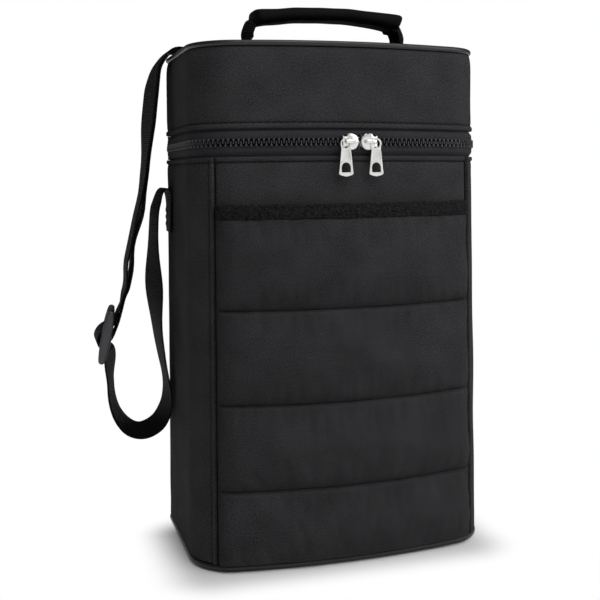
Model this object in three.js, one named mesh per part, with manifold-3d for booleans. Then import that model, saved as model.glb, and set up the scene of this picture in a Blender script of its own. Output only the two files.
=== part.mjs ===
// Zip-topped insulated carrying bag with a padded lid, a quilted front pocket and a shoulder strap.
// Millimetres, +Z up, +X to the right along the front, -Y out of the front.
// The origin is the middle of the base, on the surface that the bag stands on.

import * as THREE from "three";
import { mergeVertices } from "three/addons/utils/BufferGeometryUtils.js";
import Module from "manifold-3d";

const wasm = await Module();
wasm.setup();

// Overall sizes
const width = 204;
const depth = 131;
const height = 340;
const frontCornerRadius = 31;
const backCornerRadius = 19;
const seamX = 88.2; // the front panel's side seams from the middle, a little way round the corners
const frontRadius = 440; // the front wall is a shallow arc of this radius
const lidHeight = 57.5; // lid band, from its lower edge to the top of the piping
const zipGap = 17.7; // between the body's top edge and the lid's lower edge

// Materials' thicknesses
const clearance = 0.3; // between pieces that lie on each other
const fabric = 1.2;
const foam = 4;
const lining = 0.8;
const webbing = 1.2;
const boardThickness = 2.6;

// Piping
const basePipingRadius = 2.25;
const topPipingRadius = 2;
const pipingProud = 0.6; // how far the piping stands out of the wall

// Pocket
const pocketDrop = 30; // pocket mouth below the body's top edge
const pocketSlack = 6.6; // how far the mouth stands off the wall at its middle
const pocketPuff = 2.6; // loft of a quilted channel over the bare fabric
const quiltSeams = [52, 107, 167.5]; // heights of the seams across the pocket
const bindingHeight = 9.4;
const bindingThickness = 0.8;

// Zip
const tapeThickness = 0.7;
const tapeUnderFabric = 6; // tape hidden behind the fabric edge it is sewn to
const toothPitch = 3.4; // between teeth of the same row
const toothFoot = 2.75; // foot of a tooth below the chain's centre line
const toothTip = 1.05; // tip of a tooth beyond the centre line
const toothThickness = 2.6;
const toothFootHalf = 1.15; // half widths of a tooth along the zip
const toothNeckHalf = 0.5;
const toothHeadHalf = 0.8;
const toothCarrier = 0.55; // height of the moulded strip that joins the feet
const chainInset = 0; // middle of the chain from the bag's outer face
const zipParting = 2.1; // how far each row is pushed aside in a slider's mouth
const zipBackEnd = 2; // zip's ends ahead of the back corners' curves

// Sliders and pulls
const sliderMeeting = 6.1; // where the closed sliders meet, to the right of the middle
const sliderGap = 1.8;
const sliderLength = 11.3;
const sliderTail = 3.8; // half height at the tail
const sliderShoulder = 5.65; // radius of the round head
const sliderNeck = 2.4; // where the head begins, behind the slider's middle
const sliderPlate = 1.1;
const sliderFlange = 0.65;
const bridgeBar = 1;
const bridgeWidth = 2;
const bridgeLegAt = 3.9; // tail leg's centre from the slider's middle
const pullThickness = 1.35;
const pullEye = 2.75; // radius of the eye's hole
const pullEyeWall = 1.05;
const pullHang = 1.3; // eye's centre below the bridge leg it hangs on
const pullLength = 25.3;
const pullWidth = 10.2;
const pullShankWidth = 6.6; // under the eye
const pullPoint = 1.1; // depth of the shallow point at the bottom
const pullRim = 1.7; // metal under the arched hole
const pullHoleWidth = 6.1;
const pullHoleHeight = 6.4;

// Carrying handle
const handleY = -10;
const handleWidth = 25;
const handleSpan = 124; // over the outside of the legs
const gripLength = 113;
const gripThickness = 10.4;
const gripWidth = 27;
const gripRise = 30.6; // top of the grip above the lid
const gripArch = 3;
const patchLength = 22;

// Shoulder strap. Its free loop's points are chosen by eye.
const strapFromBack = 27.5; // strap's middle ahead of the back wall's outer face
const strapWidth = 30;
const tabLow = 213; // lower edge of the strap's sewn end
const tabHigh = 243;
const adjusterLength = 30;
const adjusterWidth = 38;
const adjusterThickness = 3;
const adjusterEndBar = 4;
const adjusterMiddleBar = 4;
const adjusterOut = 46; // centre of the adjuster out from the strap's sewn end
const adjusterUp = 137;
const adjusterTilt = 0.101; // radians, leaning towards the bag at its top
const ringBar = 3;
const ringGap = 7;
const tabLength = 24; // right side's tab, below the ring

// Facets
const cornerSteps = 5;
const seamSteps = 2; // round a corner, from its start to the seam
const frontSteps = 6;
const zipStep = 3; // along the zip between its sliders

// Heights that follow
const lidBottom = height - lidHeight;
const bodyTop = lidBottom - zipGap;
const zipZ = (lidBottom + bodyTop) / 2;
const wallBottom = 2 * basePipingRadius + 2 * clearance;
const topPipingZ = height - topPipingRadius;
const lidWallTop = topPipingZ - topPipingRadius - clearance;
const tapeBottom = bodyTop - tapeUnderFabric;
const tapeTop = lidBottom + tapeUnderFabric;
const floorTop = fabric + clearance + boardThickness + clearance + lining;
const lidCeiling = lidWallTop - foam - clearance;
const pocketMouth = bodyTop - pocketDrop;

// Insets of the layers of a wall from the bag's outer face
const foamInset = fabric + clearance;
const liningInset = foamInset + foam + clearance;
const roomInset = liningInset + lining;
const tapeInset = fabric + clearance + tapeThickness / 2;
const basePipingInset = basePipingRadius - pipingProud;
const topPipingInset = topPipingRadius - pipingProud;

// Centres of the outline's arcs
const cornerX = width / 2 - frontCornerRadius;
const frontCentreY = frontRadius - depth / 2;
const frontCornerY = frontCentreY - Math.sqrt((frontRadius - frontCornerRadius) ** 2 - cornerX ** 2);
const backCornerX = width / 2 - backCornerRadius;
const backCornerY = depth / 2 - backCornerRadius;
const frontAngle = Math.asin(cornerX / (frontRadius - frontCornerRadius));
const frontEndX = frontRadius * Math.sin(frontAngle);
const seamAngle = Math.asin((seamX - cornerX) / frontCornerRadius); // round the corner
const quarter = Math.PI / 2;

const colours = {
  fabric: [0x2b2b2d, 0.9, 0],
  quilt: [0x29292b, 0.9, 0],
  binding: [0x0e0e10, 1, 0],
  piping: [0x34363a, 0.5, 0],
  foam: [0x3c3c3f, 1, 0],
  lining: [0x55585c, 0.8, 0],
  board: [0x6a6157, 0.9, 0],
  tape: [0x1b1b1d, 0.95, 0],
  teeth: [0x202123, 0.4, 0],
  nickel: [0xc8c9ca, 0.25, 1],
  webbing: [0x19191b, 0.9, 0],
  plastic: [0x2c2d30, 0.45, 0],
};

const bag = new THREE.Group();
bag.name = "carrying_bag";

function add(name, geometry, finish, parent = bag) {
  const [color, roughness, metalness] = colours[finish];
  const mesh = new THREE.Mesh(geometry, new THREE.MeshStandardMaterial({ color, roughness, metalness }));
  mesh.name = name;
  parent.add(mesh);
  return mesh;
}

// Plan outline, counterclockwise, as stretches at an inset from the outer face

function arc(cx, cy, radius, from, to, steps) {
  return Array.from({ length: steps + 1 }, (_, i) => {
    const a = from + ((to - from) * i) / steps;
    return new THREE.Vector2(cx + radius * Math.cos(a), cy + radius * Math.sin(a));
  });
}

function onLeft(line) {
  return line.map((p) => new THREE.Vector2(-p.x, p.y)).reverse();
}

function frontLine(inset, trim = 0) {
  const end = seamAngle - trim / frontCornerRadius;
  const from = -quarter + frontAngle;
  const corner = arc(cornerX, frontCornerY, frontCornerRadius - inset, from, -quarter + end, seamSteps);
  const front = arc(0, frontCentreY, frontRadius - inset, -quarter - frontAngle, from, frontSteps);
  return [...onLeft(corner), ...front.slice(1, -1), ...corner];
}

function rightLine(inset, trim = 0) {
  const start = seamAngle + trim / frontCornerRadius;
  const end = quarter - trim / backCornerRadius;
  return [
    ...arc(cornerX, frontCornerY, frontCornerRadius - inset, -quarter + start, 0, cornerSteps),
    ...arc(backCornerX, backCornerY, backCornerRadius - inset, 0, end, cornerSteps),
  ];
}

function leftLine(inset, trim = 0) {
  return onLeft(rightLine(inset, trim));
}

function outline(inset) {
  const right = rightLine(inset);
  return [...frontLine(inset).slice(1, -1), ...right, ...leftLine(inset)];
}

// Solids

function prism(points, low, high, hole) {
  const shape = new THREE.Shape(points);
  if (hole) shape.holes.push(new THREE.Path(hole));
  const geometry = new THREE.ExtrudeGeometry(shape, { depth: high - low, bevelEnabled: false });
  return geometry.translate(0, 0, low);
}

function wall(line, outer, inner, low, high, trim) {
  return prism([...line(outer, trim), ...line(inner, trim).reverse()], low, high);
}

// A flat shape in the X-Z plane, made solid from y0 to y1
function slab(points, y0, y1, holes = []) {
  const shape = new THREE.Shape(points);
  for (const hole of holes) shape.holes.push(new THREE.Path(hole));
  return new THREE.ExtrudeGeometry(shape, { depth: y1 - y0, bevelEnabled: false })
    .rotateX(quarter)
    .translate(0, y1, 0);
}

function volumeOf(positions, index) {
  const [a, b, c] = [new THREE.Vector3(), new THREE.Vector3(), new THREE.Vector3()];
  let six = 0;
  for (let i = 0; i < index.length; i += 3) {
    a.fromArray(positions, 3 * index[i]);
    b.fromArray(positions, 3 * index[i + 1]);
    c.fromArray(positions, 3 * index[i + 2]);
    six += a.dot(b.cross(c));
  }
  return six / 6;
}

// A geometry from points and triangles, with its faces pointing out
function surface(points, triangles) {
  const positions = points.flatMap((p) => [p.x, p.y, p.z]);
  const index = [...triangles];
  if (volumeOf(positions, index) < 0) index.reverse();
  const geometry = new THREE.BufferGeometry();
  geometry.setAttribute("position", new THREE.Float32BufferAttribute(positions, 3));
  geometry.setIndex(index);
  geometry.computeVertexNormals();
  return geometry;
}

// A tube through rings of equally many points, closed on itself or capped at its ends
function loft(rings, closed = false) {
  const n = rings[0].length;
  const triangles = [];
  const last = closed ? rings.length : rings.length - 1;
  for (let i = 0; i < last; i++) {
    const a = i * n;
    const b = ((i + 1) % rings.length) * n;
    for (let j = 0; j < n; j++) {
      const k = (j + 1) % n;
      triangles.push(a + j, a + k, b + k, a + j, b + k, b + j);
    }
  }
  if (!closed) {
    const end = (rings.length - 1) * n;
    for (const [p, q, r] of capOf(rings[0])) triangles.push(r, q, p);
    for (const [p, q, r] of capOf(rings[rings.length - 1])) triangles.push(end + p, end + q, end + r);
  }
  return surface(rings.flat(), triangles);
}

// Triangles that fill a flat ring of points, turning the way that the ring does
function capOf(ring) {
  const normal = new THREE.Vector3();
  ring.forEach((p, i) => normal.add(p.clone().cross(ring[(i + 1) % ring.length])));
  const axis = ["x", "y", "z"].reduce((a, b) => (Math.abs(normal[a]) > Math.abs(normal[b]) ? a : b));
  const [u, v] = { x: ["y", "z"], y: ["z", "x"], z: ["x", "y"] }[axis];
  const flat = ring.map((p) => new THREE.Vector2(p[u], p[v]));
  const clockwise = THREE.ShapeUtils.area(flat) < 0;
  const faces = THREE.ShapeUtils.triangulateShape(clockwise ? [...flat].reverse() : flat, []);
  return clockwise ? faces.map((f) => f.map((i) => flat.length - 1 - i).reverse()) : faces;
}

function solidOf(geometry) {
  const bare = geometry.clone();
  bare.deleteAttribute("normal");
  bare.deleteAttribute("uv");
  const merged = mergeVertices(bare, 1e-4);
  const mesh = new wasm.Mesh({
    numProp: 3,
    vertProperties: merged.attributes.position.array,
    triVerts: new Uint32Array(merged.index.array),
  });
  return new wasm.Manifold(mesh);
}

function geometryOf(solid) {
  const mesh = solid.getMesh();
  const geometry = new THREE.BufferGeometry();
  geometry.setAttribute("position", new THREE.Float32BufferAttribute(mesh.vertProperties, 3));
  geometry.setIndex([...mesh.triVerts]);
  geometry.computeVertexNormals();
  return geometry;
}

function join(...pieces) {
  return geometryOf(pieces.map(solidOf).reduce((a, b) => a.add(b)));
}

function cut(piece, ...tools) {
  return geometryOf(tools.map(solidOf).reduce((a, b) => a.subtract(b), solidOf(piece)));
}

// Piping: a round cord that follows the outline
function piping(inset, z, radius, sides = 8) {
  const rings = Array.from({ length: sides }, (_, i) => {
    const a = (2 * Math.PI * i) / sides;
    const level = z + radius * Math.sin(a);
    return outline(inset - radius * Math.cos(a)).map((p) => new THREE.Vector3(p.x, p.y, level));
  });
  return loft(rings, true);
}

function makeWalls() {
  const seam = clearance / 2;
  const foamTop = tapeBottom - clearance;
  add("front_panel", wall(frontLine, 0, fabric, wallBottom, bodyTop, seam), "fabric");
  add("left_gusset", wall(leftLine, 0, fabric, wallBottom, bodyTop, seam), "fabric");
  add("right_gusset", wall(rightLine, 0, fabric, wallBottom, bodyTop, seam), "fabric");
  add("front_foam", wall(frontLine, foamInset, foamInset + foam, wallBottom, foamTop, seam), "foam");
  add("left_foam", wall(leftLine, foamInset, foamInset + foam, wallBottom, foamTop, seam), "foam");
  add("right_foam", wall(rightLine, foamInset, foamInset + foam, wallBottom, foamTop, seam), "foam");
  add("back_panel", backSheet(0, fabric, wallBottom, bodyTop), "fabric");
  add("back_foam", backSheet(foamInset, foamInset + foam, wallBottom, foamTop), "foam");
}

// A flat sheet between the back seams
function backSheet(outer, inner, low, high) {
  const x = backCornerX - clearance;
  const y0 = depth / 2 - inner;
  const y1 = depth / 2 - outer;
  const corners = [new THREE.Vector2(-x, y0), new THREE.Vector2(x, y0)];
  return prism([...corners, new THREE.Vector2(x, y1), new THREE.Vector2(-x, y1)], low, high);
}

function makeBase() {
  const inside = basePipingInset + basePipingRadius + clearance;
  const boardBottom = fabric + clearance;
  add("base_panel", prism(outline(inside), 0, fabric), "fabric");
  add("base_board", prism(outline(inside), boardBottom, boardBottom + boardThickness), "board");
  add("base_piping", piping(basePipingInset, basePipingRadius + clearance, basePipingRadius), "piping");
  const cup = prism(outline(liningInset), floorTop - lining, bodyTop - clearance);
  add("body_lining", cut(cup, prism(outline(roomInset), floorTop, bodyTop)), "lining");
}

// Share of the pocket's slack at a height: none at the base, nearly all of it over the upper half
function slackAt(z) {
  const t = (z - wallBottom) / (pocketMouth - wallBottom);
  return pocketSlack * (1 - (1 - t) ** 3);
}

// Loft of the quilted channels at a height, none at each seam
function puffAt(z) {
  const seams = [wallBottom, ...quiltSeams, pocketMouth - bindingHeight];
  const i = seams.findIndex((s, k) => k > 0 && z <= s);
  if (i < 0) return 0;
  return pocketPuff * Math.sin((Math.PI * (z - seams[i - 1])) / (seams[i] - seams[i - 1])) ** 0.6;
}

// Pocket layer in plan: from how far to how far off the front wall, at a height
function pocketRing(z, near, far, puff = 0) {
  const off = (p, amount, loft) => {
    const share = 1 - (p.x / seamX) ** 2;
    const out = clearance + slackAt(z) * share + amount + loft * Math.min(1, 3 * share);
    const side = Math.sign(p.x);
    const isRound = Math.abs(p.x) > frontEndX;
    const angle = isRound
      ? Math.atan2(p.x - side * cornerX, frontCornerY - p.y)
      : Math.atan2(p.x, frontCentreY - p.y);
    return new THREE.Vector3(p.x + out * Math.sin(angle), p.y - out * Math.cos(angle), z);
  };
  const line = frontLine(0, clearance / 2);
  return [...line.map((p) => off(p, far, puff)), ...line.map((p) => off(p, near, 0)).reverse()];
}

function makePocket() {
  const bindingLow = pocketMouth - bindingHeight;
  const levels = [wallBottom, ...quiltSeams, bindingLow];
  const heights = levels.slice(1).flatMap((top, i) => {
    const low = levels[i];
    return [0, 0.12, 0.5, 0.88].map((t) => low + (top - low) * t);
  });
  heights.push(bindingLow, pocketMouth);
  add("pocket_panel", loft(heights.map((z) => pocketRing(z, 0, fabric, puffAt(z)))), "quilt");
  const near = fabric + clearance;
  const rings = [bindingLow, pocketMouth].map((z) => pocketRing(z, near, near + bindingThickness));
  add("pocket_binding", loft(rings), "binding");
}

function makeLid(lid) {
  add("lid_band", prism(outline(0), lidBottom, lidWallTop, outline(fabric)), "fabric", lid);
  const topInset = topPipingInset + topPipingRadius + clearance;
  const topPanelLow = lidWallTop + clearance;
  add("lid_top_panel", prism(outline(topInset), topPanelLow, topPanelLow + fabric), "fabric", lid);
  add("top_piping", piping(topPipingInset, topPipingZ, topPipingRadius), "piping", lid);
  const sideLow = tapeTop + clearance;
  const ring = prism(outline(foamInset), sideLow, lidWallTop, outline(foamInset + foam));
  add("lid_side_foam", ring, "foam", lid);
  const ceiling = lidCeiling + clearance;
  add("lid_top_foam", prism(outline(liningInset), ceiling, ceiling + foam - clearance), "foam", lid);
  const cap = prism(outline(liningInset), lidBottom + clearance, lidCeiling);
  const room = prism(outline(roomInset), lidBottom, lidCeiling - lining);
  add("lid_lining", cut(cap, room), "lining", lid);
}

// The zip's path: distance along the tape from the middle of the front, positive to the right

const pathFront = (frontRadius - chainInset) * frontAngle;
const pathCorner = (frontCornerRadius - chainInset) * (quarter - frontAngle);
const pathSide = backCornerY - zipBackEnd - frontCornerY;
const pathEnd = pathFront + pathCorner + pathSide;

// Place on the path and the direction straight out of the bag there
function onPath(distance) {
  const s = Math.abs(distance);
  const side = Math.sign(distance) || 1;
  if (s <= pathFront) {
    const r = frontRadius - chainInset;
    const out = new THREE.Vector3(side * Math.sin(s / r), -Math.cos(s / r), 0);
    return { at: new THREE.Vector3(out.x * r, frontCentreY + out.y * r, 0), out };
  }
  const r = frontCornerRadius - chainInset;
  const a = Math.min(frontAngle + (s - pathFront) / r, quarter);
  const out = new THREE.Vector3(side * Math.sin(a), -Math.cos(a), 0);
  const beyond = Math.max(0, s - pathFront - pathCorner);
  return { at: new THREE.Vector3(side * cornerX + out.x * r, frontCornerY + out.y * r + beyond, 0), out };
}

const leftSliderAt = sliderMeeting - sliderGap / 2 - sliderLength / 2;
const rightSliderAt = sliderMeeting + sliderGap / 2 + sliderLength / 2;
const partingStart = 1.8; // from a slider's middle towards its tail
const partingFull = 4.6; // from a slider's middle towards its mouth

// How far a row is pushed aside at a distance along the path
function partingAt(distance) {
  const inLeft = (distance - leftSliderAt + partingStart) / (partingStart + partingFull);
  const inRight = (rightSliderAt + partingStart - distance) / (partingStart + partingFull);
  return zipParting * THREE.MathUtils.smoothstep(Math.min(inLeft, inRight), 0, 1);
}

function pathStops() {
  const stops = [pathEnd];
  for (let i = 0; i <= cornerSteps; i++) stops.push(pathFront + (pathCorner * i) / cornerSteps);
  const rest = [...stops, ...stops.map((s) => -s)];
  for (let i = 1; i < frontSteps; i++) rest.push(pathFront * ((2 * i) / frontSteps - 1));
  for (let s = leftSliderAt - partingStart; s <= rightSliderAt + partingStart; s += zipStep) rest.push(s);
  rest.sort((a, b) => a - b);
  return rest.filter((s, i) => i === 0 || s - rest[i - 1] > 0.5);
}

// Tape of one zip half: up is 1 for the lid's half and -1 for the body's.
// Its sewn edge lies behind the fabric, and its free edge is level with the chain and runs in the sliders.
function zipTape(up) {
  const edge = up > 0 ? lidBottom : bodyTop;
  const sewn = up > 0 ? tapeTop : tapeBottom;
  const behind = chainInset - tapeInset;
  const half = tapeThickness / 2;
  const level = zipZ + up * (sliderShoulder + clearance);
  const rings = pathStops().map((s) => {
    const { at, out } = onPath(s);
    const free = zipZ + up * (toothFoot + clearance + partingAt(s));
    const line = [[0, free], [0, level], [behind, edge - up * clearance], [behind, sewn]];
    const corner = (side) => ([n, z]) => at.clone().addScaledVector(out, n + side * half).setZ(z);
    return [...line.map(corner(1)), ...line.map(corner(-1)).reverse()];
  });
  return loft(rings);
}

// One row of moulded teeth on the strip that joins their feet.
// A tooth is wide at its foot, narrow at its neck and wide again at its head, so the rows hook together.
function zipTeeth(up) {
  const count = Math.floor((2 * pathEnd - toothPitch) / toothPitch);
  const first = -((count - 1) * toothPitch) / 2 + (up * toothPitch) / 4;
  const carrierTop = -toothFoot + toothCarrier;
  const profile = [
    [-toothFootHalf, carrierTop],
    [-toothNeckHalf, -0.5],
    [-toothHeadHalf, toothTip],
    [toothHeadHalf, toothTip],
    [toothNeckHalf, -0.5],
    [toothFootHalf, carrierTop],
  ];
  const points = [];
  const corner = (tooth, u, h, face) => {
    const s = first + tooth * toothPitch;
    const slope = (partingAt(s + 0.5) - partingAt(s - 0.5)) * -1;
    const turn = Math.atan(slope);
    const along = u * Math.cos(turn) - (h + toothFoot) * Math.sin(turn);
    const rise = u * Math.sin(turn) + (h + toothFoot) * Math.cos(turn) - toothFoot - partingAt(s);
    const { at, out } = onPath(s + along);
    const n = (face * toothThickness) / 2;
    points.push(at.clone().addScaledVector(out, n).setZ(zipZ - up * rise));
    return points.length - 1;
  };
  // Corner numbers of each tooth, front face then back face: the foot's two, then the profile's
  const teeth = Array.from({ length: count }, (_, tooth) =>
    [1, -1].map((face) => [
      corner(tooth, -toothFootHalf, -toothFoot, face),
      corner(tooth, toothFootHalf, -toothFoot, face),
      ...[...profile].reverse().map(([u, h]) => corner(tooth, u, h, face)),
    ]),
  );
  const triangles = [];
  const quad = (a, b, c, d) => triangles.push(a, b, c, a, c, d);
  const foot = [[-toothFootHalf, -toothFoot], [toothFootHalf, -toothFoot]];
  const flat = [...foot, ...[...profile].reverse()];
  const fill = THREE.ShapeUtils.triangulateShape(flat.map(([u, h]) => new THREE.Vector2(u, h)), []);
  teeth.forEach(([front, back], tooth) => {
    for (const [a, b, c] of fill) triangles.push(front[a], front[b], front[c], back[c], back[b], back[a]);
    for (let i = 0; i < flat.length; i++) {
      const k = (i + 1) % flat.length;
      const isShared = (i === 1 && tooth < count - 1) || (i === flat.length - 1 && tooth > 0);
      if (!isShared) quad(front[k], front[i], back[i], back[k]);
    }
    if (tooth === count - 1) return;
    const [nextFront, nextBack] = teeth[tooth + 1];
    const last = flat.length - 1;
    quad(front[1], nextFront[0], nextFront[last], front[2]);
    quad(back[2], nextBack[last], nextBack[0], back[1]);
    quad(front[2], nextFront[last], nextBack[last], back[2]);
    quad(back[1], nextBack[0], nextFront[0], front[1]);
  });
  return surface(points, triangles);
}

function makeZip(lid) {
  add("lower_zip_tape", zipTape(-1), "tape");
  add("lower_zip_teeth", zipTeeth(-1), "teeth");
  add("upper_zip_tape", zipTape(1), "tape", lid);
  add("upper_zip_teeth", zipTeeth(1), "teeth", lid);
}

// Fabric that carries the lid at the back, between the zip's two ends
function makeHinge() {
  const y = backCornerY - zipBackEnd + clearance;
  const side = (inset) => arc(backCornerX, backCornerY, backCornerRadius - inset, 0, quarter, cornerSteps);
  const half = (inset) => [new THREE.Vector2(width / 2 - inset, y), ...side(inset)];
  const all = (inset) => {
    const right = half(inset);
    return [...right, ...right.map((p) => new THREE.Vector2(-p.x, p.y)).reverse()];
  };
  const strip = [...all(0), ...all(fabric).reverse()];
  add("hinge_strip", prism(strip, bodyTop + clearance, lidBottom - clearance), "fabric");
}

// Slider, in its own frame: x towards its mouth, y up, z out of the bag

// Upper half of the slider's outline: a straight tail, and a round head at its mouth
function sliderOutline(grow = 0) {
  const half = sliderLength / 2;
  const head = sliderShoulder + grow;
  const tail = [
    [-half, sliderTail + grow - 0.5],
    [-half + 0.5, sliderTail + grow],
    [-sliderNeck - 0.6, sliderTail + grow],
  ];
  return [...tail, ...arc(0, 0, head, Math.acos(-sliderNeck / head), 0.1, 6).map((p) => [p.x, p.y])];
}

function plate(dir, upper, low, high) {
  const points = [...upper, ...upper.map(([s, h]) => [s, -h]).reverse()];
  return prism(points.map(([s, h]) => new THREE.Vector2(dir * s, h)), low, high);
}

// Rim along one edge, which closes the slider from its tail to where the rows come in
function flange(dir, side, low, high) {
  const rim = (grow) => sliderOutline(grow).slice(1, -4);
  const points = [...rim(0), ...rim(-sliderFlange).reverse()];
  return prism(points.map(([s, h]) => new THREE.Vector2(dir * s, side * h)), low, high);
}

const slotHalf = toothThickness / 2 + clearance;
const plateTop = slotHalf + sliderPlate;
const tapeSlot = tapeThickness / 2 + clearance;
const bridgeUnder = plateTop + pullThickness + 2 * clearance + 0.1;

function bridge(dir) {
  const top = bridgeUnder + bridgeBar;
  const tail = -bridgeLegAt;
  const head = bridgeLegAt - 0.4;
  const round = 0.7;
  const sunk = slotHalf + sliderPlate / 2;
  const half = bridgeBar / 2;
  const profile = [
    [tail - half, sunk],
    [tail - half, top - round],
    [tail - half + round, top],
    [head + half - round, top],
    [head + half, top - round],
    [head + half, sunk],
    [head - half, sunk],
    [head - half, bridgeUnder],
    [tail + half, bridgeUnder],
    [tail + half, sunk],
  ];
  const points = profile.map(([s, n]) => new THREE.Vector2(dir * s, n));
  return slab(points, -bridgeWidth / 2, bridgeWidth / 2);
}

function makeSlider(name, distance, dir) {
  const half = sliderLength / 2;
  const wedge = [
    [3.4, 0.1],
    [4.8, zipParting - toothTip - clearance],
    [half - 0.4, zipParting - toothTip - clearance],
  ];
  const body = join(
    plate(dir, sliderOutline(), slotHalf, plateTop),
    plate(dir, sliderOutline(), -plateTop, -slotHalf),
    flange(dir, 1, tapeSlot, slotHalf + 0.2),
    flange(dir, -1, tapeSlot, slotHalf + 0.2),
    flange(dir, 1, -slotHalf - 0.2, -tapeSlot),
    flange(dir, -1, -slotHalf - 0.2, -tapeSlot),
    plate(dir, wedge, -slotHalf - 0.2, slotHalf + 0.2),
    bridge(dir),
  );
  const mesh = add(name, body, "nickel");
  const { at, out } = onPath(distance);
  const along = new THREE.Vector3(0, 0, 1).cross(out);
  const basis = new THREE.Matrix4().makeBasis(along, new THREE.Vector3(0, 0, 1), out);
  mesh.quaternion.setFromRotationMatrix(basis);
  mesh.position.set(at.x, at.y, zipZ);
  return mesh;
}

// Pull tab, in the slider's frame: it hangs down from the bridge's tail leg.
// An eye at the top, sides that spread to a shallow point, an arched hole and a sunk field between.
function makePull(name, slider, dir) {
  const eye = pullEye + pullEyeWall;
  const eyeY = -pullHang;
  const low = eyeY + eye - pullLength;
  const bottom = low + pullPoint;
  const half = pullWidth / 2;
  const side = [
    [-pullShankWidth / 2, eyeY - eye],
    [-half, bottom + 1.2],
    [-half + 0.35, bottom + 0.3],
    [-half + 1.1, bottom - 0.2],
    [0, low],
  ];
  const edge = [...side, ...side.slice(0, -1).map(([x, y]) => [-x, y]).reverse()];
  const ring = arc(0, eyeY, eye, -0.35, Math.PI + 0.35, 12);
  const shape = [...ring, ...edge.map(([x, y]) => new THREE.Vector2(x, y))];
  const hole = arc(0, eyeY, pullEye, 0, 2 * Math.PI, 14).slice(0, -1);
  const archLow = bottom + pullRim;
  const archHalf = pullHoleWidth / 2;
  const arch = arc(0, archLow + pullHoleHeight - archHalf, archHalf, 0, Math.PI, 8);
  arch.push(new THREE.Vector2(-archHalf, archLow), new THREE.Vector2(archHalf, archLow));
  const fieldLow = archLow + pullHoleHeight + 1.3;
  const fieldHigh = eyeY - eye - 0.7;
  const field = roundedBox(2.5, (fieldHigh - fieldLow) / 2, 0.6).map((p) => {
    return new THREE.Vector2(p.x, p.y + (fieldLow + fieldHigh) / 2);
  });
  const base = plateTop + clearance + 0.05;
  const top = base + pullThickness;
  const body = cut(
    prism(shape, base, top),
    prism(hole, base - 1, top + 1),
    prism(arch, base - 1, top + 1),
    prism(field, top - 0.3, top + 1),
  );
  const mesh = add(name, body, "nickel");
  mesh.quaternion.copy(slider.quaternion);
  const leg = new THREE.Vector3(-dir * bridgeLegAt, 0, 0).applyQuaternion(slider.quaternion);
  mesh.position.copy(slider.position).add(leg);
  return mesh;
}

function makeSliders() {
  const left = makeSlider("left_slider", leftSliderAt, 1);
  const right = makeSlider("right_slider", rightSliderAt, -1);
  makePull("left_pull", left, 1);
  makePull("right_pull", right, -1);
}

// Webbing: a centre line in the X-Z plane, given its thickness

function smooth(points, perSpan = 3) {
  const curve = new THREE.SplineCurve(points.map(([x, z]) => new THREE.Vector2(x, z)));
  return curve.getPoints((points.length - 1) * perSpan);
}

function ribbon(line, thickness) {
  const sides = [1, -1].map((side) =>
    line.map((p, i) => {
      const before = line[Math.max(i - 1, 0)];
      const after = line[Math.min(i + 1, line.length - 1)];
      const along = after.clone().sub(before).normalize();
      const half = (side * thickness) / 2;
      return new THREE.Vector2(p.x - along.y * half, p.y + along.x * half);
    }),
  );
  return [...sides[0], ...sides[1].reverse()];
}

const lidTop = lidWallTop + clearance + fabric; // upper face of the lid's top panel
const gripMiddle = height + gripRise - gripThickness / 2 - gripArch;
const mirrored = (points) => points.map(([x, z]) => [-x, z]).reverse();

function handleLine() {
  const leg = handleSpan / 2 - webbing;
  const patchTop = lidTop + 2 * clearance + 2 * webbing;
  const left = [
    [-leg + 7, patchTop + clearance],
    [-leg + 2.4, patchTop + 1.6],
    [-leg, patchTop + 6],
    [-leg + 0.4, patchTop + 12],
    [-leg + 3.4, gripMiddle - 4],
    [-gripLength / 2 + 4, gripMiddle - 0.6],
    [-gripLength / 4, gripMiddle + gripArch * 0.7],
  ];
  return smooth([...left, [0, gripMiddle + gripArch], ...mirrored(left)], 2);
}

// Padded sleeve round the handle's webbing, rounder at its ends
function gripBody() {
  const stations = [-1, -0.97, -0.85, -0.5, 0, 0.5, 0.85, 0.97, 1];
  const rings = stations.map((t) => {
    const x = (t * gripLength) / 2;
    const z = gripMiddle + gripArch * (1 - t * t) + (Math.abs(t) > 0.8 ? -0.4 : 0);
    const full = Math.abs(t) > 0.98 ? 0.86 : 1;
    return Array.from({ length: 14 }, (_, i) => {
      const a = (2 * Math.PI * (i + 0.5)) / 14;
      const y = Math.sign(Math.cos(a)) * Math.abs(Math.cos(a)) ** 0.5 * (gripWidth / 2) * full;
      const up = Math.sign(Math.sin(a)) * Math.abs(Math.sin(a)) ** 0.7 * (gripThickness / 2) * full;
      return new THREE.Vector3(x, handleY + y, z + up);
    });
  });
  return loft(rings);
}

function makeHandle(lid) {
  const line = handleLine();
  const y0 = handleY - handleWidth / 2;
  const y1 = handleY + handleWidth / 2;
  const room = handleWidth / 2 + clearance;
  const slot = slab(ribbon(line, webbing + 2 * clearance), handleY - room, handleY + room);
  add("handle_webbing", slab(ribbon(line, webbing), y0, y1), "webbing", lid);
  add("handle_grip", cut(gripBody(), slot), "webbing", lid);
  for (const side of [-1, 1]) {
    const low = lidTop + clearance;
    const outer = handleSpan / 2 - webbing;
    const [x0, x1] = [outer - patchLength, outer].map((x) => side * x).sort((a, b) => a - b);
    const patch = [
      [x0, low],
      [x1, low],
      [x1, low + 2 * webbing],
      [x0, low + 2 * webbing],
    ].map(([x, z]) => new THREE.Vector2(x, z));
    add(side < 0 ? "handle_left_patch" : "handle_right_patch", slab(patch, y0, y1), "webbing", lid);
  }
}

// Shoulder strap. Points are [distance out from the sewn end, height], turned into X and Z.

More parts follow.
